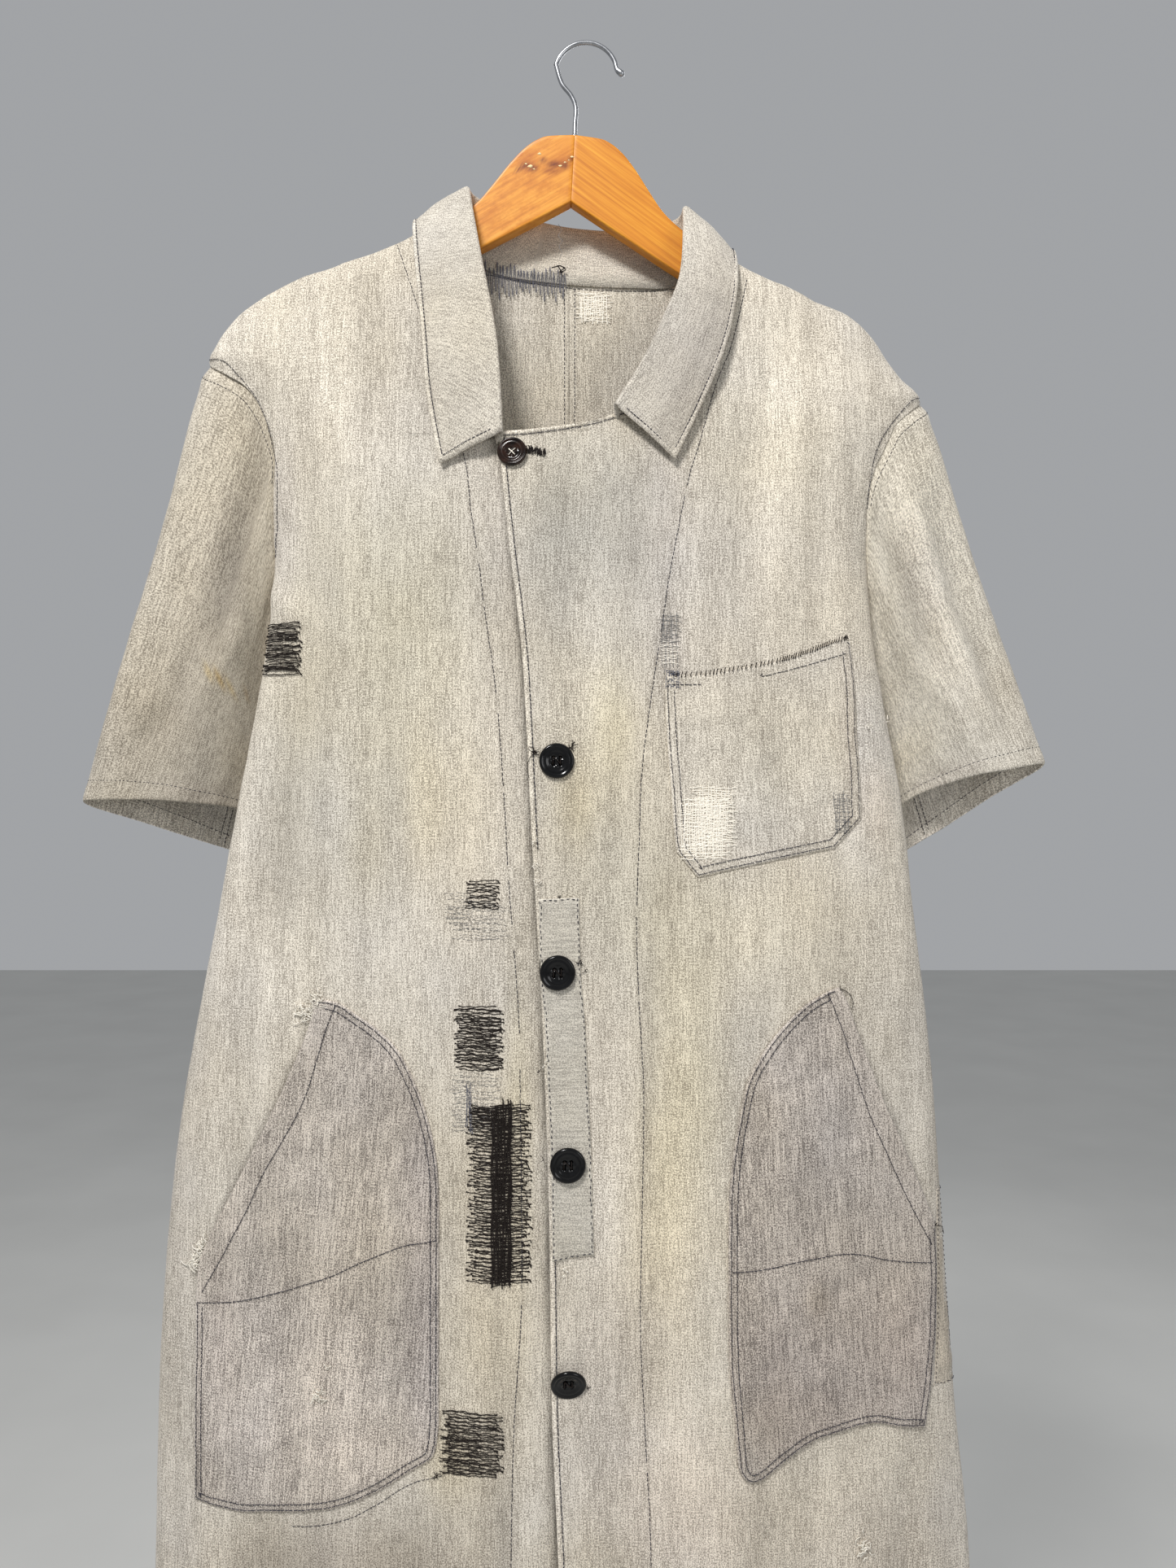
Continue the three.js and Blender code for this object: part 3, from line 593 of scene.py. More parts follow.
def levels(top, dense_from, coarse, fine, extra=()):
    """Heights of rows from the hem to the top, with extra close ones round an edge."""
    z = set(np.round(np.arange(HEM, dense_from, coarse), 3))
    z |= set(np.round(np.arange(dense_from, top, fine), 3)) | {top}
    z |= {HEM + d for d in (0.8, 1.8)}
    for a, b, step in extra:
        z = {q for q in z if not a < q < b} | set(np.round(np.arange(a, b, step), 3))
    return np.array(sorted(z))


def spots(x, z, places):
    """Colour factors from soft-edged blots: each is (x, z, half width, half height, colour factor)."""
    tone = np.ones((*np.shape(x), 3))
    for cx, cz, rx, rz, colour in places:
        share = np.exp(-((((x - cx) / rx) ** 2 + ((z - cz) / rz) ** 2) ** 1.3))
        tone *= 1 + (np.array(colour) - 1) * share[..., None]
    return tone


def washed(far, width=2.6, light=1.16):
    """The pale worn strip along a folded edge."""
    return 1 + (light - 1) * smooth(1.4 - far / width)[..., None]


# ------------------------------------------------------------------ thread
class Thread:
    """Collects short tubes of thread into one piece."""

    def __init__(self, sides=4):
        self.sides, self.verts, self.faces, self.count = sides, [], [], 0

    def tubes(self, paths, radii, up):
        """paths is (tubes, points, 3), radii (tubes, points), and up the way the cloth faces."""
        m, n, _ = paths.shape
        along = np.gradient(paths, axis=1)
        side = unit(np.cross(along, up))
        lift = unit(np.cross(side, along))
        turn = np.arange(self.sides) / self.sides * math.tau
        ring = side[:, :, None] * np.cos(turn)[:, None] + lift[:, :, None] * np.sin(turn)[:, None]
        v = paths[:, :, None] + ring * radii[:, :, None, None]
        self.verts.append(v.reshape(-1, 3))
        f = quads(n, self.sides, True)
        base = self.count + np.arange(m)[:, None, None] * n * self.sides
        self.faces += (f[None] + base).reshape(-1, 4).tolist()
        first = np.arange(self.sides)[::-1]
        for ends in (first, first[::-1] + (n - 1) * self.sides):
            self.faces += (ends[None] + base[:, 0]).tolist()
        self.count += m * n * self.sides

    def sew(self, surface, line, pitch=3.0, stitch=2.6, radius=0.25, lift=1.0, seed=1, wobble=0.15, gaps=()):
        """A row of stitches along a line on a surface(u, v, lift)."""
        line = np.asarray(line, float)
        p = surface(line[:, 0], line[:, 1], lift)
        at = travelled(p)
        rng = np.random.default_rng(seed)
        starts = np.arange(0.4, at[-1] - stitch, pitch)
        starts = starts + rng.uniform(-0.3, 0.3, len(starts))
        for top, low in gaps:
            v = np.interp(starts + stitch / 2, at, line[:, 1])
            starts = starts[(v > top) | (v < low)]
        if not len(starts):
            return
        s = starts[:, None] + np.array([0, 0.22, 0.5, 0.78, 1.0]) * stitch
        jog = rng.uniform(-wobble, wobble, (len(starts), 1))
        u, v = np.interp(s, at, line[:, 0]) + jog, np.interp(s, at, line[:, 1]) + jog
        height = lift + np.array([-0.5, 0.12, 0.22, 0.12, -0.5]) * (radius / 0.3)
        q = surface(u, v, height + 0 * u)
        up = surface(u, v, height + 1.0 + 0 * u) - q
        self.tubes(q, radius * np.array([0.6, 1, 1, 1, 0.6]) * np.ones((len(starts), 1)), up)

    def lay(self, surface, line, radius=0.3, lift=1.0, weave=0.0, period=4.0, phase=0.0, knots=0.0):
        """One thread along a line on a surface. weave makes it dip in and out of the cloth."""
        line = np.asarray(line, float)
        p = surface(line[:, 0], line[:, 1], lift)
        at = travelled(p)
        n = max(3, int(at[-1] / (period / 4 if weave else 2.2)) + 1)
        s = np.linspace(0, at[-1], n)
        u, v = np.interp(s, at, line[:, 0]), np.interp(s, at, line[:, 1])
        height = lift + weave * np.sin(s / period * math.tau + phase)
        q = surface(u, v, height)
        up = surface(u, v, height + 1.0) - q
        end = np.minimum(s, at[-1] - s)
        self.tubes(q[None], (radius * (1 + knots * smooth(1.6 - end / 1.1)))[None], up[None])

    def piece(self, name, mat, slot="coat_cloth"):
        return make(name, np.concatenate(self.verts), self.faces, mat)


def offset_line(line, away):
    """The line moved sideways, to the left of its direction."""
    line = np.asarray(line, float)
    d = unit(np.gradient(line, axis=0))
    return line + np.stack([-d[:, 1], d[:, 0]], -1) * away


# ------------------------------------------------------------------ body panels
CORNER = -297.6  # the top corner of the over front's edge
LAP_TOP, LAP_UNDER = -301.0, 26.0  # where the under front's covered lap starts, and how far across it goes
EDGE = (0, 0.7, 1.5, 2.4, 3.4, 4.6, 6.2, 8.4, 11.2)
SEAM = (0, 1.2, 2.8, 5.2)


def neck_x(side):
    fine = curve(NECK[side], 1.5)
    order = np.argsort(fine[:, 1])
    return lambda z: np.interp(z, fine[order, 1], fine[order, 0])


def piping(far):
    """The rounded, doubled cloth of a folded edge."""
    return 0.75 * smooth(1.6 - far / 2.4) - 0.9 * smooth(1 - far / 1.1) - 0.25 * bell(far - 3.4, 0.8)


neck_right, neck_left = neck_x("right"), neck_x("left")
TONES = {"right": [(-130, -400, 70, 80, (0.84, 0.86, 0.86)), (-170, -550, 70, 90, (0.84, 0.855, 0.87)),
    (-205, -672, 36, 40, (1.16, 1.17, 1.18)), (-160, -1090, 90, 46, (0.71, 0.69, 0.67)),
    (-150, -590, 16, 40, (1.0, 0.985, 0.93)), (-110, -560, 14, 50, (1.02, 1.0, 0.94)),
    (-72, -636, 9, 16, (1.1, 1.1, 1.1)), (-76, -762, 10, 14, (1.06, 1.06, 1.06)),
    (-60, -360, 26, 120, (0.95, 0.95, 0.97)), (-95, -300, 30, 60, (0.96, 0.96, 0.96)),
    (-205, -470, 26, 90, (1.03, 1.02, 0.97)), (-120, -480, 50, 90, (1.03, 1.02, 0.96)),
    (-200, -240, 60, 50, (1.05, 1.05, 1.03)), (-60, -900, 26, 120, (1.0, 0.98, 0.93)),
    (-150, -640, 60, 60, (0.97, 0.97, 0.97)), (-290, -900, 24, 260, (0.90, 0.90, 0.92)),
    (-70, -1060, 24, 60, (0.96, 0.95, 0.93)), (-180, -1120, 120, 50, (0.93, 0.92, 0.92)),
    (-215, -360, 10, 70, (0.92, 0.92, 0.95)), (-80, -560, 24, 70, (1.03, 1.01, 0.96)),
    (-92, -1010, 20, 30, (1.03, 1.0, 0.9)), (-44, -780, 10, 120, (1.03, 1.02, 0.95)),],
    "left": [(4, -350, 56, 60, (0.76, 0.78, 0.79)), (-10, -420, 50, 60, (0.88, 0.89, 0.9)),
    (34, -360, 40, 60, (0.95, 0.95, 0.97)), (28, -606, 56, 70, (0.88, 0.88, 0.85)),
    (53, -825, 50, 70, (1.12, 1.11, 1.1)), (50, -1030, 60, 60, (1.12, 1.11, 1.14)),
    (20, -500, 16, 40, (1.01, 1.0, 0.93)), (-5, -560, 14, 30, (1.02, 1.0, 0.93)),
    (120, -300, 60, 60, (1.03, 1.03, 1.01)), (60, -330, 16, 80, (0.94, 0.94, 0.97)),
    (0, -520, 40, 60, (1.01, 1.0, 0.95)), (90, -650, 70, 50, (1.03, 1.02, 0.96)),
    (10, -720, 30, 60, (0.98, 0.97, 0.95)), (70, -760, 30, 90, (1.03, 1.02, 0.93)),
    (50, -840, 24, 60, (1.02, 1.0, 0.92)), (20, -930, 40, 60, (0.96, 0.94, 0.93)),
    (80, -1060, 50, 60, (0.95, 0.93, 0.92)), (200, -520, 22, 60, (0.95, 0.96, 0.99)),
    (205, -560, 14, 30, (1.0, 0.96, 0.92)), (196, -1090, 60, 70, (0.94, 0.92, 0.91)),
    (60, -450, 12, 26, (0.93, 0.93, 0.96)), (190, -640, 30, 60, (0.96, 0.97, 0.99)),
    (255, -900, 16, 260, (0.92, 0.92, 0.94)), (112, -700, 20, 40, (0.95, 0.96, 0.99)),
    (160, -620, 40, 30, (1.03, 1.02, 1.0)),],}


HIP_R_MOUTH = [(-186, -693), (-188.3, -708.8), (-196.3, -730.2), (-212.9, -768.2), (-229.2, -800.8),
    (-246.3, -833.8), (-260.7, -862), (-268, -880), (-271, -903)]
HIP_L_MOUTH = [(176.4, -685.6), (182.2, -695), (193.2, -727.3), (207.9, -766.8), (222.3, -797.7),
    (234.6, -826.7), (247, -855)]
MOUTHS = {"right": HIP_R_MOUTH, "left": HIP_L_MOUTH}


def body_tone(side, x, z, edge_far):
    """Colour factors of a front: blots and random streaks of tone, darker lines along the facing and armhole
    seams and the pale worn strip along a folded edge, with painted light on fold ridges and painted shade in
    the valleys between them, painted shadow beside the over front's edge and along the pocket mouths, and a
    painted fold shade beside the under front's facing.
    """
    tone = spots(x, z, TONES[side])
    # painted light on fold ridges and painted shade in their valleys, with random streaks of tone
    tone *= (1 + 0.045 * creased(x, z, FOLDS[side]) + 0.045 * ripple(x, z, 26, 190, 61) + 0.03 * ripple(x,
        z, 9, 240, 63))[..., None]
    if side == "right":
        # painted shadow on the under front beside the over front's edge, deeper where that edge gapes
        lap = np.clip(over_edge(z) - x, 0, 99)
        tone *= (1 - (0.30 + 0.12 * GAPE(z)) * bell(lap, 2.8))[..., None]
        # painted fold shade: a darker band left of the facing, low on the under front
        tone *= (1 - 0.09 * bell(x + 60 + 0.02 * (z + 900), 4.5) * smooth((-520 - z) / 80))[..., None]
    # painted shadow on the front's cloth along the pocket mouths
    far, along = reach_of(x, z, MOUTHS[side])
    tone *= (1 - 0.34 * bell(far, 3.4) * np.sin(np.pi * np.clip(along, 0, 1)) ** 0.5)[..., None]
    far, _ = reach_of(x, z, FACING[side][::3])
    tone *= (1 - 0.06 * bell(far, 2.6))[..., None]
    far, _ = reach_of(x, z, ARMHOLE[side])
    tone *= (1 - 0.08 * bell(far, 3.0))[..., None]
    return tone * washed(edge_far)


def left_front():
    z = levels(-147.2, -320, 3.4, 2.5, [(-299.5, -282.5, 0.85)])
    edge = np.where(z < CORNER, over_edge(z), neck_left(z))
    start = angle_of(edge, z)
    end = np.where(z > TIP["left"], 94.0, front_seam("left", z))
    angle, at = panel(z, start, end, 3.3, EDGE, SEAM)
    zz = np.broadcast_to(z[:, None], angle.shape)
    side_far = at - at[:, [0]]
    x = body(angle, zz)[..., 0]
    neck_far = np.abs(zz - np.interp(x, [-60, -21, 22.6], [-297.6, -293.7, -284]))
    top = np.where((x < 30) & (zz > -310), neck_far, 99.0)
    edge_far = np.minimum(np.where(zz < -296, side_far, 99.0), top)
    edge_far = np.where(zz >= -284, np.minimum(edge_far, side_far), edge_far)
    verts = raised("left", angle, zz, piping(edge_far) + 0.35 * smooth(1 - (at[:, [-1]] - at) / 5))
    rows, cols = angle.shape
    return make("over_front", verts, quads(rows, cols), COAT, ["left_front"],
                np.stack([at, zz], -1), body_tone("left", x, zz, edge_far), CLOTH)


def right_front():
    z = levels(-130.6, -320, 3.5, 2.7, [(-302, -296, 0.8)])
    step = np.interp(z, [LAP_TOP, CORNER], [LAP_UNDER, -60.5])
    edge = np.where(z < LAP_TOP, LAP_UNDER, np.where(z < CORNER, step, neck_right(z)))
    start = np.where(z > TIP["right"], -94.0, -front_seam("right", z))
    angle, at = panel(z, start, angle_of(edge, z), 3.4, SEAM, (0, 2, 4))
    zz = np.broadcast_to(z[:, None], angle.shape)
    x = body(angle, zz)[..., 0]
    verts = raised("right", angle, zz, 0.35 * smooth(1 - (at - at[:, [0]]) / 5))
    rows, cols = angle.shape
    return make("under_front", verts, quads(rows, cols), COAT, ["right_front"],
                np.stack([at, zz], -1), body_tone("right", x, zz, np.full(x.shape, 99.0)), CLOTH)


def back_panel(side):
    fine = curve(NECK_BACK, 2.0)
    top = {"right": -131.5, "left": -148.5}[side]
    z = levels(top, -330, 6.5, 3.0, [(-171, -154, 0.9)])
    seam = back_seam(side, z)
    outer = np.where(z < ARMPIT, seam - 1.5, np.where(z > TIP[side], 90.5, seam))
    inner = []
    for h in z:  # the centre, or the neckline above it
        p = fine[fine[:, 0] <= CENTRE] if side == "right" else fine[fine[:, 0] >= CENTRE]
        p = p[np.argsort(p[:, 1])]
        x = np.interp(h, p[:, 1], p[:, 0]) if h > p[0, 1] else CENTRE
        turn = 180 - abs(float(angle_of(x, h)))
        inner.append(min(turn, 180.0) if h > p[0, 1] else 180.0)
    inner = np.array(inner)
    if side == "right":
        angle, at = panel(z, -inner, -outer, 6.0, (0, 2, 5), SEAM)
    else:
        angle, at = panel(z, outer, inner, 6.0, SEAM, (0, 2, 5))
    zz = np.broadcast_to(z[:, None], angle.shape)
    x = body(angle, zz)[..., 0]
    verts = on_back(angle, zz, 0.0)
    rows, cols = angle.shape
    tone = spots(x, zz, [(-10, -230, 110, 60, (0.91, 0.91, 0.90)), (60, -400, 90, 120, (1.02, 1.01, 0.98)),
                         (-100, -700, 80, 160, (0.97, 0.97, 0.98)), (0, -1150, 240, 90, (0.95, 0.94, 0.93))])
    centre = arcs(z)[1][:, [0 if side == "right" else -1]]
    return make(side + "_back_panel", verts, quads(rows, cols), COAT, [side + "_back"],
                np.stack([at - centre, zz], -1), tone, CLOTH)


OVER, UNDER = left_front(), right_front()
BACKS = [back_panel("right"), back_panel("left")]


# ------------------------------------------------------------------ sleeves
CUFF = {
    "right": [(-367.5, 0, -558), (-325, -16, -556), (-285, -15, -558), (-247, 2, -566), (-212, 14, -596),
              (-235, 20, -603), (-277, 21, -591), (-326, 16, -575)],
    "left": [(337.5, 0, -531), (308, -15, -534), (276, -15, -540), (236, 1, -558), (206, 14, -590),
             (228, 20, -600), (262, 21, -583), (303, 16, -556)],
}


def ring_through(points, count):
    """count points evenly by corner along a smooth closed ring."""
    p = np.array(points, float)
    n = len(p)
    out = []
    for s in np.arange(count) / count * n:
        i, t = int(s), s - int(s)
        out.append(between(p[(i - 1) % n], p[i % n], p[(i + 1) % n], p[(i + 2) % n], t))
    return np.array(out)


CUFF_RING = {s: ring_through(CUFF[s], 240) for s in CUFF}
SLEEVE_FOLDS = {"right": [(0.035, -2.6, [(0.16, 0.05), (0.17, 0.35), (0.19, 0.55)]),
    (0.03, 1.8, [(0.11, 0.1), (0.12, 0.5), (0.1, 0.8)]),
    (0.028, 1.7, [(0.25, 0.35), (0.2, 0.6), (0.13, 0.82)]),
    (0.025, -1.5, [(0.22, 0.5), (0.15, 0.75), (0.08, 0.9)]),
    (0.03, 1.5, [(0.07, 0.3), (0.05, 0.6), (0.04, 0.9)]),
    (0.03, 1.6, [(0.7, 0.2), (0.75, 0.5), (0.8, 0.9)])],
    "left": [(0.035, -2.0, [(0.2, 0.05), (0.19, 0.35), (0.2, 0.6)]),
    (0.03, 1.8, [(0.13, 0.1), (0.15, 0.5), (0.13, 0.85)]),
    (0.025, 1.2, [(0.24, 0.5), (0.2, 0.75), (0.19, 0.95)]),
    (0.03, -1.6, [(0.08, 0.2), (0.1, 0.5), (0.09, 0.9)]),
    (0.03, 1.6, [(0.7, 0.2), (0.75, 0.5), (0.8, 0.9)])],}


def sleeve(side, turn, t, lift=0.0):
    """Points of a sleeve: turn goes once round from the outer fold by the front, t from armhole to cuff."""
    turn, t = np.broadcast_arrays(np.asarray(turn, float) % 1.0, np.asarray(t, float))
    sign = -1 if side == "right" else 1

    def plain_form(turn, t):
        turn = turn % 1.0
        z = TIP[side] + (ARMPIT - TIP[side]) * (1 - np.cos(turn * math.tau)) / 2
        angle = np.where(turn < 0.5, front_seam(side, z), back_seam(side, z)) * sign
        start = body(angle, z) - outward(angle, z) * 1.3
        ring = CUFF_RING[side]
        s = turn * 240
        i = np.floor(s).astype(int)
        end = ring[i % 240] * (1 - (s - i))[..., None] + ring[(i + 1) % 240] * (s - i)[..., None]
        p = start + (end - start) * t[..., None] + outward(angle, z) * (1.3 * smooth(t / 0.05))[..., None]
        p[..., 1] += 9 * np.sin(np.pi * t) * smooth(1 - np.abs(turn - 0.5) * 4)
        outer = smooth(1 - np.minimum(turn, 1 - turn) / 0.13)
        return p + outward(angle, z) * (2.6 * outer * smooth(t / 0.025) * smooth((0.5 - t) / 0.4))[..., None]

    p = plain_form(turn, t)
    across = plain_form(turn + 0.004, t) - plain_form(turn - 0.004, t)
    along = plain_form(turn, t + 0.005) - plain_form(turn, t - 0.005)
    n = unit(np.cross(along, across)) * (1 if side == "right" else -1)
    d = 2.9 * creased(turn, t, SLEEVE_FOLDS[side])
    d += 0.8 * ripple(turn, t, 0.07, 0.4, 31) * smooth(t * 6) + 0.3 * ripple(turn, t, 0.03, 0.06, 33)
    hem = 1 - t
    pucker = ripple(turn, t, 0.0065, 0.2, 35) * bell(hem - 0.026, 0.02)
    d += 0.9 * pucker + 0.5 * smooth(1 - hem / 0.05)
    d += 0.8 * bell(t - 0.035, 0.014) * smooth((0.36 - turn) * 20) * (turn < 0.36)
    d *= smooth(np.abs(turn - 0.5) * 9 - 0.2) * 0.75 + 0.25
    return p + n * (d + lift)[..., None]


def make_sleeve(side):
    turn = np.arange(150) / 150
    t = np.concatenate([[0, 0.006, 0.014, 0.024], np.linspace(0.036, 0.95, 82),
        [0.956, 0.964, 0.973, 0.983, 0.991, 0.997, 1.0]])
    tt, uu = np.meshgrid(t, turn, indexing="ij")
    verts = sleeve(side, uu, tt, -0.8 * smooth(1 - (1 - tt) / 0.004))
    size = 1.9 * np.hypot(*(CUFF_RING[side][0] - CUFF_RING[side][120])[[0, 2]])
    grain = np.stack([np.abs(uu - 0.5) * size * np.where(uu < 0.5, 1, -1), tt * 330], -1)
    light = 1 + 0.1 * smooth(1 - (1 - tt) / 0.012) - 0.05 * bell(tt - 0.03, 0.012)
    # painted light and shade following the hem's puckers
    light += 0.09 * ripple(uu, tt, 0.0065, 0.2, 35) * bell(1 - tt - 0.026, 0.02)
    # painted shade inside the back of the cuff
    light -= 0.10 * smooth((tt - 0.7) / 0.2) * (uu > 0.5) * smooth((1 - tt - 0.04) / 0.01)
    # painted light and shade following the sleeve's folds, and a darker band a quarter turn round
    light += 0.085 * creased(uu, tt, SLEEVE_FOLDS[side]) - 0.10 * bell(uu - 0.27, 0.05) * smooth(tt / 0.4)
    # painted shade over the front of the sleeve, stronger on the right one
    light -= (0.13 if side == "right" else 0.04) * smooth(tt / 0.5) * (uu < 0.5)
    # a painted shade band down the right sleeve's front, and painted light on the left one's
    seen = smooth(2 - np.abs(uu - 0.25) / 0.14)[..., None]
    light = light[..., None] * (1 + seen * (np.array([-0.17, -0.19, -0.24]) if side == "right"
        else np.array([0.07, 0.08, 0.07])))
    stains = [(0.2, 0.605, 0.02, 0.013, (1.0, 0.9, 0.68)), (0.23, 0.58, 0.02, 0.013, (0.99, 0.82, 0.52)),
        (0.26, 0.555, 0.02, 0.013, (1.0, 0.9, 0.68)),
        (0.3, 0.49, 0.012, 0.016, (0.88, 0.8, 0.7))] if side == "right" else []
    tone = spots(uu, tt, stains + [(0.1, 0.8, 0.1, 0.1, (0.96, 0.95, 0.94)),
        (0.16, 0.3, 0.04, 0.2, (0.96, 0.96, 0.97)), (0.17, 0.45, 0.07, 0.3, (0.93, 0.92, 0.92)),
        (0.28, 0.97, 0.1, 0.06, (0.92, 0.91, 0.92))])
    return make(side + "_sleeve_cloth", verts, quads(len(t), len(turn), True, side == "left"), COAT,
        [side + "_sleeve"], grain, tone * light, CLOTH)


SLEEVES = [make_sleeve("right"), make_sleeve("left")]


# ------------------------------------------------------------------ collar
SEAM_LINE = [(-61, -42, -306), (-75, -33, -236), (-88, -24, -186), (-99, -10.5, -131), (-96, 9, -133),
    (-74, 11.6, -161), (-17, 12, -171.5), (38, 12, -174.5), (68, 11.6, -173), (87, 9, -153),
    (88, -10.5, -147.5), (80, -24, -191), (67, -32, -222), (48, -38, -251), (23, -40, -289)]
FOLD_LINE = [(-57, -47.5, -301), (-62, -41, -234), (-73, -29, -175), (-84, -9, -116), (-81, 10, -109),
    (-56, 19, -117), (-14, 22, -126), (28, 22, -129), (52, 20, -129), (71, 11, -124), (73, -9, -129),
    (70, -28, -180), (57, -37, -216), (42, -43, -248), (21.5, -48, -281)]
EDGE_LINE = [(-100.4, -46, -320.8), (-110.5, -41, -270), (-115, -34, -220), (-124, -13, -141),
    (-120, 13, -136), (-86, 21, -160), (-20, 24, -176), (42, 24, -179), (84, 22, -177), (107, 14, -156),
    (110, -13, -159.5), (109, -31, -194), (99.6, -40, -237), (82, -45, -280), (63.6, -48, -318.2)]
ROLL = 3.6


def evenly(points, count):
    p = curve(points, 1.0)
    at = travelled(p)
    corner = np.array([at[np.argmin(np.linalg.norm(p - q, axis=1))] for q in np.array(points, float)])
    s = np.interp(np.linspace(0, len(points) - 1, count), np.arange(len(points)), corner)
    return np.stack([np.interp(s, at, p[:, k]) for k in range(3)], -1)


RINGS = 211
C_SEAM, C_FOLD, C_EDGE = evenly(SEAM_LINE, RINGS), evenly(FOLD_LINE, RINGS), evenly(EDGE_LINE, RINGS)
for _ in range(6):  # takes the corners out of the three lines
    for line in (C_SEAM, C_FOLD, C_EDGE):
        line[1:-1] = (line[:-2] + 2 * line[1:-1] + line[2:]) / 4


def collar_sections():
    along = unit(np.gradient(C_FOLD, axis=0))
    up = unit(C_FOLD - C_SEAM)
    out = unit(np.cross(up, along))
    top = C_FOLD + out * ROLL
    fall = C_EDGE - top
    part = [C_SEAM + (C_FOLD - C_SEAM) * t for t in (0, 0.25, 0.5, 0.75, 0.93)]
    for a in np.radians([0, 45, 90, 135, 180]):
        part.append(C_FOLD + out * ROLL / 2 * (1 - math.cos(a)) + up * ROLL / 2 * math.sin(a))
    for t in np.concatenate([np.linspace(0.05, 0.88, 14), [0.91, 0.935, 0.955, 0.972, 0.987, 1.0]]):
        part.append(top + fall * t + out * (1.5 * math.sin(math.pi * min(1, t * 1.05)) ** 2))
    return np.stack(part, 1)


SECTION = collar_sections()
C_COLS = SECTION.shape[1]


def collar(i, q, lift=0.0):
    """Points of the collar: i counts rings from the wearer's right, q goes from neck seam, 0, to edge, 1."""
    i, q = np.broadcast_arrays(np.asarray(i, float), np.asarray(q, float))
    u, v = np.clip(i, 0, RINGS - 1.001), np.clip(q, 0, 1) * (C_COLS - 1) * 0.99999
    a, b = np.floor(u).astype(int), np.floor(v).astype(int)
    fu, fv = (u - a)[..., None], (v - b)[..., None]
    g = SECTION
    p = (g[a, b] * (1 - fv) + g[a, b + 1] * fv) * (1 - fu) + (g[a + 1, b] * (1 - fv) + g[a + 1, b + 1]
        * fv) * fu
    around = g[a + 1, b] - g[a, b]
    across = g[a, b + 1] - g[a, b]
    n = unit(np.cross(around, across))
    return p + n * np.asarray(lift)[..., None] if np.ndim(lift) else p + n * lift


def make_collar():
    ii, cc = np.meshgrid(np.arange(RINGS), np.arange(C_COLS), indexing="ij")
    p = SECTION.copy()
    n = unit(np.cross(np.gradient(p, axis=0), np.gradient(p, axis=1)))
    far_end = np.minimum(ii, RINGS - 1 - ii) * 2.6
    d = 0.7 * ripple(ii * 2.6, cc * 3.0, 22, 30, 41) + 0.25 * ripple(ii * 2.6, cc * 3.0, 8, 8, 43)
    edge = np.linalg.norm(p - p[:, [-1]], axis=-1)
    edge = np.where(cc > 9, edge, 99.0)
    border = np.minimum(edge, np.where(cc > 9, far_end, 99.0))
    d += 0.3 * ripple(ii * 2.6, cc, 6, 9, 45) * smooth(1 - border / 8)
    d *= smooth((cc - 4) / 8)
    d += piping(border) * (cc > 9)
    p += n * d[..., None]
    across = np.concatenate([np.zeros((RINGS, 1)),
        np.cumsum(np.linalg.norm(np.diff(SECTION, axis=1), axis=-1), 1)], 1)
    along = travelled(C_EDGE)[:, None] + 0 * across
    bias = math.radians(38)
    left = ii < RINGS * 0.4
    grain = np.stack([np.where(left, along * math.cos(bias) - across * math.sin(bias), across),
                      np.where(left, along * math.sin(bias) + across * math.cos(bias), along)], -1)
    tone = spots(ii / RINGS, cc / C_COLS, [(0.06, 0.6, 0.06, 0.2, (0.95, 0.95, 0.95)),
        (0.88, 0.7, 0.12, 0.4, (0.74, 0.73, 0.74)), (0.72, 0.9, 0.04, 0.3, (0.94, 0.94, 0.96)),
        (0.5, 0.2, 0.2, 0.2, (0.97, 0.96, 0.95))])
    line = bell(border - 4.2, 1.3) * (cc > 9)
    tone = tone * washed(border, 2.8, 1.18) * (1 - 0.1 * line[..., None])
    return make("folded_collar", p, quads(RINGS, C_COLS), COLLAR, ["collar"], grain, tone,
        CLOTH)


COLLAR_PIECE = make_collar()


# ------------------------------------------------------------------ pockets and patches
HEIGHTS = {}


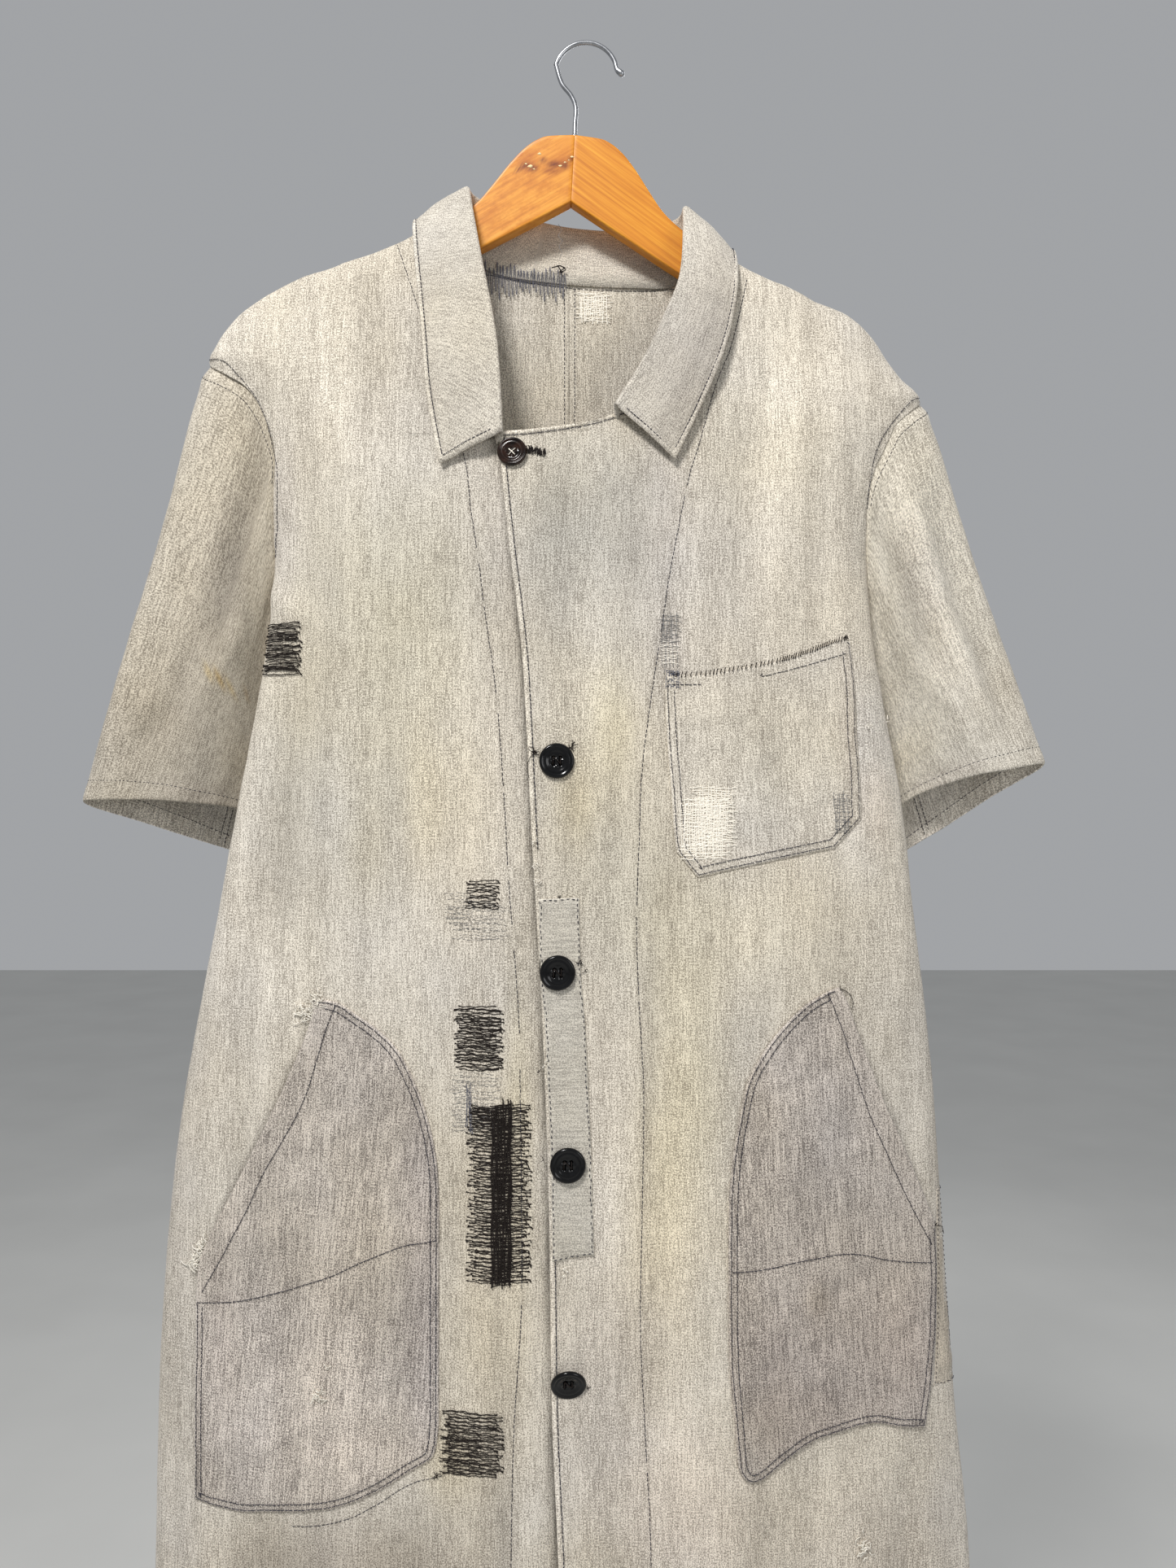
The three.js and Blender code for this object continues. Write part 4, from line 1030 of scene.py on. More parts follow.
def patch(name, side, outline, mat, nodes, lift, spacing=3.4, angle=0.0, thick=1.3, tones=(),
        puff=0.5, mouth=None, rough=1.0):
    """A piece of cloth sewn onto a front, filling an outline given in front view."""
    border = np.array(outline, float)
    closed = np.vstack([border, border[:1]])
    at = travelled(closed)
    n = int(at[-1] / 2.6)
    s = np.arange(n) / n * at[-1]
    ring = np.stack([np.interp(s, at, closed[:, k]) for k in (0, 1)], -1)
    low, high = ring.min(0), ring.max(0)
    gx, gz = np.meshgrid(np.arange(low[0], high[0], spacing), np.arange(low[1], high[1], spacing))
    points = np.stack([gx.ravel(), gz.ravel()], -1)
    inside = np.zeros(len(points), bool)
    j = n - 1
    for i in range(n):
        a, b = ring[i], ring[j]
        hit = (a[1] > points[:, 1]) != (b[1] > points[:, 1])
        with np.errstate(divide="ignore", invalid="ignore"):
            cross = (b[0] - a[0]) * (points[:, 1] - a[1]) / (b[1] - a[1]) + a[0]
        inside ^= hit & (points[:, 0] < cross)
        j = i
    rim = np.vstack([ring, ring[:1]])[::2]
    far, _ = reach_of(points[:, 0], points[:, 1], rim)
    inner = offset_ring(ring, 1.3)
    points = points[inside & (far > 2.6)]
    every = np.vstack([ring, inner, points])
    made = delaunay_2d_cdt([Vector(p) for p in every.tolist()], [(i, (i + 1) % n) for i in range(n)], [], 1,
        1e-5)
    flat = np.array([tuple(v) for v in made[0]])
    x, z = flat[:, 0], flat[:, 1]

    def wrinkled(x, z, far):
        return 1.3 * ripple(x, z, 22, 60, 51) + 0.9 * ripple(x + 0.5 * z, z - 0.6 * x, 34, 10,
            55) * smooth(far / 16)

    def height(x, z, above=0.0):
        shape_of = np.shape(x)
        x, z = np.ravel(x), np.ravel(z)
        far, _ = reach_of(x, z, rim)
        h = lift + puff * smooth(far / 9) - 0.45 * smooth(1 - far / 1.2) + 0.25 * smooth(1
            - np.abs(far - 1.8) / 1.6)
        h = h + rough * wrinkled(x, z, far) * smooth(far / 12) + 0.35 * ripple(x, z, 9, 9,
            53) * smooth(1 - np.abs(far - 7) / 7)
        if mouth is not None:
            near, along = reach_of(x, z, mouth)
            h = h + 2.4 * smooth(1 - near / 24) * np.sin(np.pi * np.clip(along, 0, 1)) ** 0.7
        return h.reshape(shape_of) + above

    HEIGHTS[name] = lambda x, z, above: front(side, x, z, height(x, z, above))
    far, _ = reach_of(x, z, rim)
    wrinkle = wrinkled(x, z, far)
    verts = front(side, x, z, height(x, z))
    faces = [list(f) for f in made[2]]
    turn = math.radians(angle)
    grain = np.stack([x * math.cos(turn) - z * math.sin(turn) + 400, x * math.sin(turn) + z
        * math.cos(turn)], -1)
    tone = spots(x, z, tones) * washed(far, 2.2, 1.14) * (1 - 0.07 * bell(far - 3.4, 1.6))[:, None]
    # painted light and shade following the wrinkles, with random streaks of tone
    tone *= (1 + rough * (0.055 * wrinkle + 0.03 * ripple(x, z, 7, 150, 57)))[:, None]
    p = verts[np.array(faces[0])]
    if np.cross(p[1] - p[0], p[2] - p[0])[1] > 0:
        faces = [f[::-1] for f in faces]
    return make(name, verts, faces, mat, nodes, grain, tone, thick, -1.0)


def offset_ring(ring, away):
    d = unit(np.roll(ring, -1, 0) - np.roll(ring, 1, 0))
    area = np.sum(ring[:, 0] * np.roll(ring[:, 1], -1) - np.roll(ring[:, 0], -1) * ring[:, 1])
    return ring + np.stack([-d[:, 1], d[:, 0]], -1) * away * (1 if area > 0 else -1)


def closed_curve(corners):
    """An outline through stretches of points, smooth along each stretch and sharp between them."""
    return np.vstack([curve(c, 2.5)[:-1] for c in corners])


CHEST_MOUTH = [(56.8, -467.5), (64, -470), (88.3, -468.1), (122, -462.2), (149.9, -454.9), (176.3, -444.8),
    (183.2, -442.5)]
CHEST = closed_curve([CHEST_MOUTH + [(187.6, -445.5)], [(187.6, -445.5), (190.4, -477.5), (190.8, -511.5),
    (192.4, -538.4), (193, -569.7)], [(193, -569.7), (174, -590)],
    [(174, -590), (150.7, -594.5), (127.7, -599), (101.1, -604.5), (78, -609.5)],
    [(78, -609.5), (63.5, -591.6)], [(63.5, -591.6), (61.9, -578.2), (60.3, -552), (58.1, -525.7),
    (56.5, -499.3), (56, -476.2), (56.8, -467.5)]])
HIP_RIGHT = closed_curve([[(-186, -693), (-169.4, -695), (-155.7, -703.1), (-139.3, -714.5),
    (-125.7, -728.7), (-115, -749.6), (-107.1, -771.1), (-100.9, -797), (-98.6, -823.4), (-98.4, -856),
    (-98.5, -902.5), (-98.6, -955.1), (-98.8, -981.7), (-100.5, -997.4), (-104.3, -1005.9), (-117.7, -1014),
    (-133.9, -1025.1), (-155.3, -1036.6), (-174, -1043), (-201.4, -1046), (-231.7, -1048.5),
    (-251.9, -1047.5), (-271.6, -1044)], [(-271.6, -1044), (-271.8, -993.2), (-271, -938.4), (-271, -903)],
    HIP_R_MOUTH[::-1]])
HIP_LEFT = closed_curve([HIP_L_MOUTH, [(247, -855), (248.5, -879.4), (248.5, -904.1), (246.5, -936.6),
    (242.5, -969), (238, -994.5)], [(238, -994.5), (218.4, -991.3), (201.2, -987.2), (183.7, -989.7),
    (158.5, -995.8), (142, -1006), (126.8, -1017.6), (118.4, -1022), (111.6, -1021.5), (106, -1014),
    (104.3, -1001.7), (102.1, -974.3), (99.6, -947), (99, -919.7), (98.6, -887.6), (98.8, -854.9),
    (99.6, -822.3), (102.5, -795.2), (107, -771), (112, -749.5), (120.3, -733.5), (133.9, -714.9),
    (151, -698), (166.5, -689), (176.4, -685.6)]])
PLACKET = closed_curve([[(-30.6, -623.6), (-29.8, -672.3), (-26.7, -706.1), (-24.5, -752.5),
    (-22.3, -799.5), (-21, -869)], [(-21, -869), (7.2, -865.7)], [(7.2, -865.7), (5.8, -810), (4.1, -767.4),
    (1.6, -714.9), (-1.7, -672.3), (-2.8, -622.6)], [(-2.8, -622.6), (-30.6, -623.6)]])
SIDE_PATCH = closed_curve([[(249.5, -832.5), (263, -833.5)], [(263, -833.5), (269, -900), (273, -971.5)],
                           [(273, -971.5), (246, -968)], [(246, -968), (250, -900), (249.5, -832.5)]])

CHEST_PIECE = patch("chest_pocket_cloth", "left", CHEST, COAT, ["chest_pocket"], 1.9,
    angle=-2, rough=0.7, tones=[(120, -520, 60, 50, (0.98, 0.98, 0.96)),
    (90, -575, 30, 20, (0.94, 0.95, 0.97)), (186, -500, 8, 60, (0.93, 0.92, 0.93))])
HIP_R_PIECE = patch("right_hip_pocket_cloth", "right", HIP_RIGHT, POCKET,
    ["right_hip_pocket"], 2.0, 3.6, 4, mouth=HIP_R_MOUTH, tones=[(-180, -840, 60, 60, (1.04, 1.03, 1.0)),
    (-140, -1010, 50, 30, (1.1, 1.09, 1.07)), (-185, -970, 100, 66, (1.27, 1.27, 1.29)),
    (-110, -860, 14, 120, (0.94, 0.93, 0.95)), (-130, -940, 16, 60, (0.93, 0.93, 0.92)),
    (-250, -930, 12, 60, (0.93, 0.92, 0.93))])
SIDE_PIECE = patch("side_seam_patch", "left", SIDE_PATCH, PATCH, ["side_patch"], 0.9, 3.4,
    thick=0.8, puff=0.0, rough=0.3, tones=[(262, -900, 60, 120, (0.90, 0.85, 0.81))])
HIP_L_PIECE = patch("left_hip_pocket_cloth", "left", HIP_LEFT, POCKET, ["left_hip_pocket"],
    2.6, 3.6, -3, mouth=HIP_L_MOUTH, tones=[(180, -860, 120, 200, (0.965, 0.96, 0.965)),
    (180, -800, 40, 50, (0.98, 0.99, 1.01)), (150, -980, 40, 24, (0.94, 0.92, 0.9)),
    (160, -900, 10, 12, (0.92, 0.9, 0.86)), (170, -940, 90, 56, (0.95, 0.93, 0.92)),
    (130, -960, 12, 50, (0.92, 0.91, 0.91)), (225, -940, 24, 50, (0.94, 0.92, 0.91))])
PLACKET_PIECE = patch("placket_patch_cloth", "left", PLACKET, PATCH, ["placket_patch"], 1.9,
    3.0, 90, puff=0.2, rough=0.25)


def on_over(x, z, lift):
    return front("left", x, z, lift)


def on_under(x, z, lift):
    return front("right", x, z, lift)


# ------------------------------------------------------------------ seams, topstitching and hems
def seams():
    t = Thread()
    gaps_r = [(-383, -393), (-419, -423), (-482, -497), (-548, -552), (-602, -610), (-641, -660),
        (-716, -740), (-888, -900)]
    gaps_l = [(-335, -343), (-441, -449), (-628, -634), (-690, -694), (-1010, -1016)]
    t.sew(on_under, FACING["right"], 3.4, 3.0, 0.25, 0.95, 1, gaps=gaps_r)
    t.sew(on_over, FACING["left"], 3.4, 3.0, 0.25, 0.95, 2, gaps=gaps_l)
    z = np.arange(-1258, -299, 3.0)
    t.sew(on_over, np.stack([over_edge(z) + 3.4, z], -1), 3.0, 2.6, 0.31, 1.2, 3, 0.1, gaps=[(-590, -622)])
    top = curve([(-57.5, -300.6), (-21.1, -296.7), (22.6, -287.2), (46, -266)])
    t.sew(on_over, top, 3.0, 2.6, 0.31, 1.2, 4, 0.1)
    for side, surface, k in (("right", on_under, 1), ("left", on_over, -1)):
        t.sew(surface, offset_line(ARMHOLE[side], -1.6 * k), 3.0, 2.6, 0.26, 1.1, 5 + k)
    t.piece("seam_stitching", INK)


def plain_seams():
    """Stitching of the back, the side seams and the hem."""
    t = Thread(3)
    z = np.arange(-174, HEM + 6, -4.0)
    for away in (1.2, 6.6):
        angle = 180 - np.degrees(np.arcsin(away / half_width("left", z)))
        t.sew(on_back, np.stack([angle, z], -1), 3.4, 2.8, 0.24, 1.05, 101, 0.02)
    for side, sign in (("right", -1), ("left", 1)):
        def round_front(angle, z, lift, side=side):
            return raised(side, angle, z, lift)

        z = np.arange(TIP[side] - 4, ARMPIT + 6, -3.0)
        t.sew(on_back, np.stack([sign * (BACK_SEAM[side](z) + 1.4), z], -1), 3.0, 2.6, 0.26, 1.1, 102, 0.02)
        z = np.arange(ARMPIT - 4, HEM + 6, -4.0)
        t.sew(round_front, np.stack([sign * (front_seam(side, z) - 1.4), z], -1),
              3.4, 2.7, 0.24, 1.3, 103, 0.02)
        edge = np.full(200, HEM + 19.0)
        start = 8.5 if side == "right" else float(angle_of(over_edge(HEM), HEM)) + 0.5
        angle = sign * np.linspace(start * sign, 98, 200) if side == "left" else np.linspace(start, -98, 200)
        t.sew(round_front, np.stack([angle, edge], -1), 3.4, 2.7, 0.24, 1.1, 104, 0.02)
        t.sew(on_back, np.stack([sign * np.linspace(102, 179, 200), edge], -1), 3.4, 2.7, 0.24, 1.1, 105,
            0.02)
    t.piece("plain_stitching", INK)


seams()
plain_seams()


def pocket_stitches():
    t = Thread()

    def inset(ring, away, mouth=None):
        """The outline moved in, without the stretch beside the mouth."""
        line = offset_ring(ring, away)
        line = np.vstack([line, line[:1]])
        if mouth is None:
            return line
        keep = reach_of(line[:, 0], line[:, 1], mouth)[0] > away + 0.8
        first = int(np.flatnonzero(keep & ~np.roll(keep, 1))[0])
        line, keep = np.roll(line, -first, 0), np.roll(keep, -first)
        return line[: int(np.flatnonzero(~keep)[0])]

    chest, hip_right, hip_left = (HEIGHTS[n + "_pocket_cloth"] for n in ("chest", "right_hip", "left_hip"))
    for away, seed in ((1.9, 11), (6.6, 12)):
        t.sew(chest, inset(CHEST, away, CHEST_MOUTH), radius=0.27, lift=0.42, seed=seed)
    t.sew(chest, curve([(124.5, -468), (123.7, -470.4), (151, -463.4), (184, -453.2)]), lift=0.3, seed=13)
    t.sew(chest, curve([(60, -476.5), (82.6, -476.4)]), lift=0.3, seed=14)
    for ring, mouth, surface, seed in ((HIP_RIGHT, HIP_R_MOUTH, hip_right, 15),
            (HIP_LEFT, HIP_L_MOUTH, hip_left, 17)):
        t.sew(surface, inset(ring, 1.9, mouth), radius=0.28, lift=0.45, seed=seed)
        t.sew(surface, inset(ring, 5.8, mouth), radius=0.28, lift=0.5, seed=seed + 1)
    t.sew(hip_right, curve([(-269, -907), (-240.5, -903.4), (-209.4, -895.7), (-173.9, -882.9),
        (-147.3, -870.4), (-123.2, -860.4), (-100, -856)]), radius=0.28, lift=0.5, seed=19)
    t.sew(hip_left, curve([(101, -878.1), (122.8, -876.7), (150.6, -871.6), (183.9, -869.4), (212.7, -876.1),
                                  (246, -882)]), radius=0.28, lift=0.5, seed=20)
    t.sew(hip_right, curve([(-170, -697), (-179, -721), (-191.5, -761), (-207, -791), (-220, -813),
        (-233, -841), (-249, -871), (-266, -901)]), radius=0.28, lift=0.5, seed=21)
    t.sew(hip_left, curve([(168, -689), (178, -716), (189, -751), (199, -780), (216, -816), (233, -850),
        (245, -871)]), radius=0.28, lift=0.5, seed=22)
    t.sew(on_under, curve([(-96.1, -1017.4), (-118, -1023), (-139.3, -1037.1), (-160.8, -1049),
        (-182.4, -1055), (-203.1, -1056)]), radius=0.22, lift=0.95, seed=23)
    t.sew(HEIGHTS["placket_patch_cloth"], inset(PLACKET, 1.3), 4.0, 2.1, 0.3, 0.3, 24, 0.45)
    t.sew(HEIGHTS["side_seam_patch"], inset(SIDE_PATCH, 1.3), 3.4, 1.6, 0.24, 0.3, 25, 0.3)
    t.piece("pocket_stitching", INK)


pocket_stitches()


def collar_stitches():
    t = Thread()
    leaf_edge, first, last = 0.868, 1.2, RINGS - 2.2
    rings = np.linspace(first, last, 600)
    t.sew(collar, np.stack([rings, np.full(600, leaf_edge)], -1), 3.0, 2.6, 0.3, 1.3, 31, 0.0)
    for i in (first, last):
        q = np.linspace(0.37, leaf_edge, 60)
        t.sew(collar, np.stack([np.full(60, i), q], -1), 3.0, 2.6, 0.3, 1.3, 32, 0.0)
    t.piece("collar_stitching", INK, "collar_cloth")


collar_stitches()


def sleeve_stitches():
    t = Thread()
    for side in ("right", "left"):
        def outside(turn, along, lift, side=side):
            return sleeve(side, turn, along, lift)

        def inside(turn, along, lift, side=side):
            return sleeve(side, turn, along, -lift)

        u = np.linspace(-0.49, 0.49, 500)
        t.sew(outside, np.stack([u, np.full(500, 0.955)], -1), 3.4, 2.2, 0.18, 0.75, 41, 0.0)
        u = np.linspace(0.0, 0.2, 200)
        t.sew(outside, np.stack([u, np.full(200, 0.03)], -1), 3.4, 2.6, 0.2, 0.8, 42, 0.0)
        u = np.linspace(0.51, 0.99, 400)
        t.sew(inside, np.stack([u, np.full(400, 0.955)], -1), 3.4, 2.6, 0.24, 0.8, 43, 0.0)
        for u in (0.735, 0.747):
            v = np.linspace(0.8, 0.99, 60)
            t.sew(inside, np.stack([np.full(60, u), v], -1), 3.0, 2.6, 0.28, 0.8, 44, 0.0)
    t.piece("sleeve_stitching", INK)


sleeve_stitches()


# ------------------------------------------------------------------ darns
def darn(t, surface, x0, x1, z0, z1, gap, radius, lift, seed, uneven=3.0, weave=0.45, period=3.6, lean=0.0,
        upright=False, knots=0.0):
    """Rows of thread run to and fro over a worn place, with uneven turns at the ends."""
    rng = np.random.default_rng(seed)
    rows = np.arange(z0, z1, -gap) if not upright else np.arange(x0, x1, gap)
    for k, r in enumerate(rows):
        r = r + rng.uniform(-0.3, 0.3) * gap
        if upright:
            a, b = z0 + rng.uniform(-uneven, uneven), z1 + rng.uniform(-uneven, uneven)
            s = np.linspace(a, b, 24)
            line = np.stack([r + lean * (s - a) + 0.5 * np.sin(s / 7 + rng.uniform(0, 6)), s], -1)
        else:
            a, b = x0 + rng.uniform(-uneven, uneven), x1 + rng.uniform(-uneven, uneven)
            s = np.linspace(a, b, 40)
            line = np.stack([s, r + lean * (s - a) + 0.45 * np.sin(s / 5 + rng.uniform(0, 6))
                             + 0.3 * np.sin(s / 1.3 + rng.uniform(0, 6)) + rng.uniform(-0.3, 0.3)], -1)
            if k % 2:
                line = np.vstack([line, [line[-1][0] + 0.5, line[-1][1] - gap * 0.7]])
        t.lay(surface, line, radius, lift, weave, period + rng.uniform(-0.5, 0.8), rng.uniform(0, 6), knots)


def darns():
    black, grey, blue, white = Thread(4), Thread(3), Thread(4), Thread(4)
    under, over = on_under, on_over
    chest = HEIGHTS["chest_pocket_cloth"]

    def pocket(x, z, lift):
        return chest(x, z, lift - 0.75)

    darn(black, under, -227, -203, -431, -468, 1.9, 0.40, 1.7, 61, 2.2, 0.0, lean=0.02, knots=0.7)
    darn(black, under, -226, -207, -433, -467, 3.1, 0.34, 1.8, 52, 3.0, 0.0, lean=0.02)
    darn(black, under, -79.5, -59, -612, -631, 1.3, 0.29, 0.95, 62, 2.0, 0.25, knots=0.6)
    darn(grey, under, -90, -56, -626, -653, 1.7, 0.17, 0.85, 63, 5.0, 0.3)
    darn(grey, under, -92, -76, -620, -645, 2.2, 0.16, 0.85, 60, 4.0, 0.3)
    darn(black, under, -86, -57, -697, -741, 1.2, 0.31, 0.95, 64, 3.0, 0.2, knots=0.6)
    darn(black, under, -83, -60, -704, -733, 1.8, 0.27, 1.05, 65, 5.0, 0.2)
    darn(grey, under, -88, -58, -743, -779, 2.1, 0.17, 0.85, 66, 4.0, 0.3)
    darn(grey, under, -88, -76, -744, -784, 1.7, 0.16, 0.85, 67, 3.0, 0.3)
    darn(blue, under, -80, -76, -753, -781, 0.9, 0.26, 0.9, 68, 5.0, 0.3, upright=True)
    darn(black, under, -77, -39, -765, -885, 1.45, 0.28, 0.95, 69, 3.4, 0.2, knots=0.9)
    darn(black, under, -76, -40, -766, -884, 2.6, 0.26, 1.0, 58, 5.0, 0.2, knots=0.9)
    darn(black, under, -77, -63, -765, -778, 1.15, 0.32, 1.15, 70, 1.5, 0.2)
    darn(black, under, -62.5, -49, -763, -886, 1.35, 0.32, 1.2, 71, 1.0, 0.12)
    darn(black, under, -62.5, -49, -763, -885, 1.2, 0.40, 1.6, 72, 4.0, 0.3, upright=True)
    darn(black, under, -95, -57, -972, -1017, 1.25, 0.30, 1.1, 73, 3.4, 0.2, lean=-0.05, knots=0.6)
    darn(black, under, -95, -70, -985, -1016, 2.4, 0.25, 1.15, 59, 4.0, 0.2, lean=-0.05)
    darn(white, pocket, 67, 98, -556, -597, 1.25, 0.42, 1.0, 74, 2.5, 0.25)
    darn(white, pocket, 67, 96, -556, -596, 1.5, 0.40, 1.1, 75, 3.5, 0.3, upright=True)
    darn(white, pocket, 76, 103, -548, -588, 1.7, 0.38, 1.0, 56, 3.0, 0.3)
    darn(white, pocket, 80, 104, -548, -580, 2.4, 0.36, 1.1, 57, 4.0, 0.3, upright=True)
    darn(grey, pocket, 174, 185, -553, -579, 1.6, 0.2, 0.9, 76, 1.2, 0.3)
    darn(grey, pocket, 174, 184, -551, -579, 1.9, 0.2, 1.0, 77, 2.5, 0.3, upright=True)
    darn(grey, over, 53, 66, -428, -450, 1.6, 0.2, 0.9, 78, 1.8, 0.3)
    darn(grey, over, 54, 66, -428, -467, 2.0, 0.2, 1.0, 79, 3.0, 0.3, upright=True)
    darn(white, over, 53, 65, -447, -463, 1.5, 0.26, 0.95, 55, 2.0, 0.3)
    darn(blue, over, 57, 66, -467, -479, 1.5, 0.24, 1.9, 54, 0.8, 0.3)
    darn(blue, over, 57, 66, -467, -479, 1.7, 0.24, 2.0, 53, 0.8, 0.3, upright=True)

    def inside(x, z, lift):
        turn = np.sign(x - CENTRE) * (180 - np.abs(angle_of(x, z)))
        return behind(turn, z, -0.9 + 1.2 * smooth((np.abs(turn) - 100) / 6) - lift)

    darn(white, inside, -3, 18, -178, -199, 1.4, 0.42, 0.9, 80, 3.2, 0.25)
    darn(white, inside, -3, 18, -178, -199, 1.6, 0.42, 1.0, 81, 3.4, 0.3, upright=True)
    rng = np.random.default_rng(82)
    x = -76.0
    zig = []
    while x < -14:
        zig += [(x, -156 + rng.uniform(-4, 3) - (x + 76) * 0.06),
            (x + 1.5, -177 + rng.uniform(-7, 6) - (x + 76) * 0.06)]
        x += rng.uniform(2.0, 3.3)
    blue.lay(inside, curve(zig, 1.2), 0.24, 3.0)
    black.lay(inside, np.array([(-24, -160), (-17, -158.5), (-13, -162), (-19, -163.5), (-14, -160),
        (-20, -158), (-16, -164)]), 0.42, 4.4)
    grey.lay(inside, np.array([(-19, -130), (-16, -134), (-19.5, -138), (-15.5, -142), (-19, -146),
        (-16, -150), (-18, -155)]), 0.2, 8.5)
    z = np.arange(-174, -300, -3.0)
    ink = Thread()
    ink.sew(inside, np.stack([-14.6 + 0 * z, z], -1), 3.4, 2.6, 0.27, 0.85, 83)
    ink.sew(inside, np.stack([-7.0 + 0 * z, z], -1), 3.0, 2.9, 0.3, 0.8, 84)
    ink.sew(inside, curve([(-74, -164), (-17, -173.5), (38, -176.5), (70, -175)]), 3.0, 2.7, 0.22, 0.95, 85)
    ink.piece("inside_stitching", INK)
    black.piece("black_darning", BLACK_WOOL)
    grey.piece("grey_darning", GREY_THREAD)
    blue.piece("blue_darning", BLUE_THREAD)
    white.piece("white_darning", WHITE_THREAD)


darns()


def whip_stitches(black, rng):
    """Over the chest pocket's mouth, closer together towards its upper end."""
    mouth = curve([(64, -469.5), (88.3, -467.6), (122, -461.7), (149.9, -454.4), (176.3, -444.2),
        (185, -442)], 1.0)
    at = travelled(mouth)
    s = 0.0
    while s < at[-1]:
        x, z = np.interp(s, at, mouth[:, 0]), np.interp(s, at, mouth[:, 1])
        tall = rng.uniform(1.3, 2.6)
        line = [(x - 0.5, z - tall), (x, z - 0.3), (x + 0.5, z + tall * 0.7)]
        black.lay(on_over, np.array(line), 0.34, 2.9)
        s += rng.uniform(1.5, 2.3) if s > at[-1] * 0.55 else rng.uniform(2.2, 3.8)


def buttonhole(black, rng):
    """The crowded stitches of the first buttonhole."""
    for k in range(60):
        x = rng.uniform(-43, -27)
        z = -310.6 - (x + 38) * 0.2 + rng.uniform(-1.9, 1.9)
        lean = rng.uniform(-1.6, 1.6)
        black.lay(on_over, np.array([(x - lean * 0.5, z - 1.5), (x, z), (x + lean * 0.5, z + 1.5)]), 0.34,
            1.2 + 0.3 * (k % 3))


def tufts(black, rng):
    """Knots and short ends of black thread: each is (x, z, how many, reach)."""
    places = [(-34, -523, 9, 5), (-8, -519, 6, 5), (-2, -668, 5, 4), (1, -672, 4, 3), (-27, -800, 3, 3),
        (3, -956, 4, 3), (62, -470, 6, 4), (184, -441, 9, 3), (-100, -1017, 8, 4), (248, -857, 8, 4),
        (178, -688, 8, 4), (-16, -622, 5, 2), (-30, -740, 5, 2), (-46, -306, 8, 3), (-33, -524, 8, 3),
        (-9, -520, 8, 4), (-3, -667, 8, 3), (2, -800, 6, 3)]
    for x, z, n, size in places:
        for _ in range(n):
            a = rng.uniform(0, math.tau)
            b = a + rng.uniform(-1.2, 1.2)
            r = rng.uniform(0.3, 1.0) * size
            p = [(x, z), (x + r * 0.5 * math.cos(a), z + r * 0.5 * math.sin(a)),
                (x + r * math.cos(b), z + r * math.sin(b))]
            black.lay(on_over if x > -35 else on_under, np.array(p), 0.22, 1.3 + rng.uniform(0, 0.9))


def frays(white, rng):
    """Pale broken threads of worn cloth: each is (front, x, z, how many, reach)."""
    places = [("right", -191, -703, 60, 9), ("right", -184, -693, 20, 6), ("right", -270, -880, 60, 9),
        ("right", -265, -870, 34, 8), ("right", -181.5, -966, 30, 6), ("right", -175, -944, 8, 3),
        ("left", 192, -1070, 26, 8), ("left", -33.5, -585, 9, 3), ("left", -32.5, -600, 12, 3),
        ("left", -31.5, -612, 12, 3), ("left", -25.5, -735, 8, 3), ("left", -12, -876, 8, 3),
        ("left", 199, -505, 5, 3), ("left", 214, -500, 5, 3)]
    for side, x, z, n, size in places:
        for _ in range(n):
            a = rng.uniform(0, math.tau)
            r = rng.uniform(0.3, 1.0) * size
            px, pz = x + rng.normal(0, size / 3), z + rng.normal(0, size / 2.5)
            bend = rng.uniform(-0.8, 0.8)
            p = [(px, pz), (px + r * 0.5 * math.cos(a), pz + r * 0.5 * math.sin(a)),
                 (px + r * 0.8 * math.cos(a + bend), pz + r * 0.8 * math.sin(a + bend))]
            high = 3.4 if abs(x + 181) < 12 and z < -900 else 2.2
            white.lay(on_over if side == "left" else on_under, np.array(p), 0.36,
                high + rng.uniform(-0.4, 0.8))


def loose_ends(black):
    for line in ([(-31, -523), (-36, -526), (-38.5, -533), (-37.5, -541)],
            [(178, -687), (184, -690), (187, -696), (186, -702)], [(248, -857), (254, -860), (256, -866)],
            [(-29.5, -664), (-30, -672), (-29, -679)]):
        black.lay(on_over, curve(line, 1.0), 0.22, 1.9)


def whip_and_tufts():
    black, white = Thread(4), Thread(3)
    rng = np.random.default_rng(91)
    whip_stitches(black, rng)
    buttonhole(black, rng)
    tufts(black, rng)
    frays(white, rng)
    loose_ends(black)
    black.piece("whip_stitching", BLACK_WOOL)
    white.piece("white_frays", WHITE_THREAD)


whip_and_tufts()


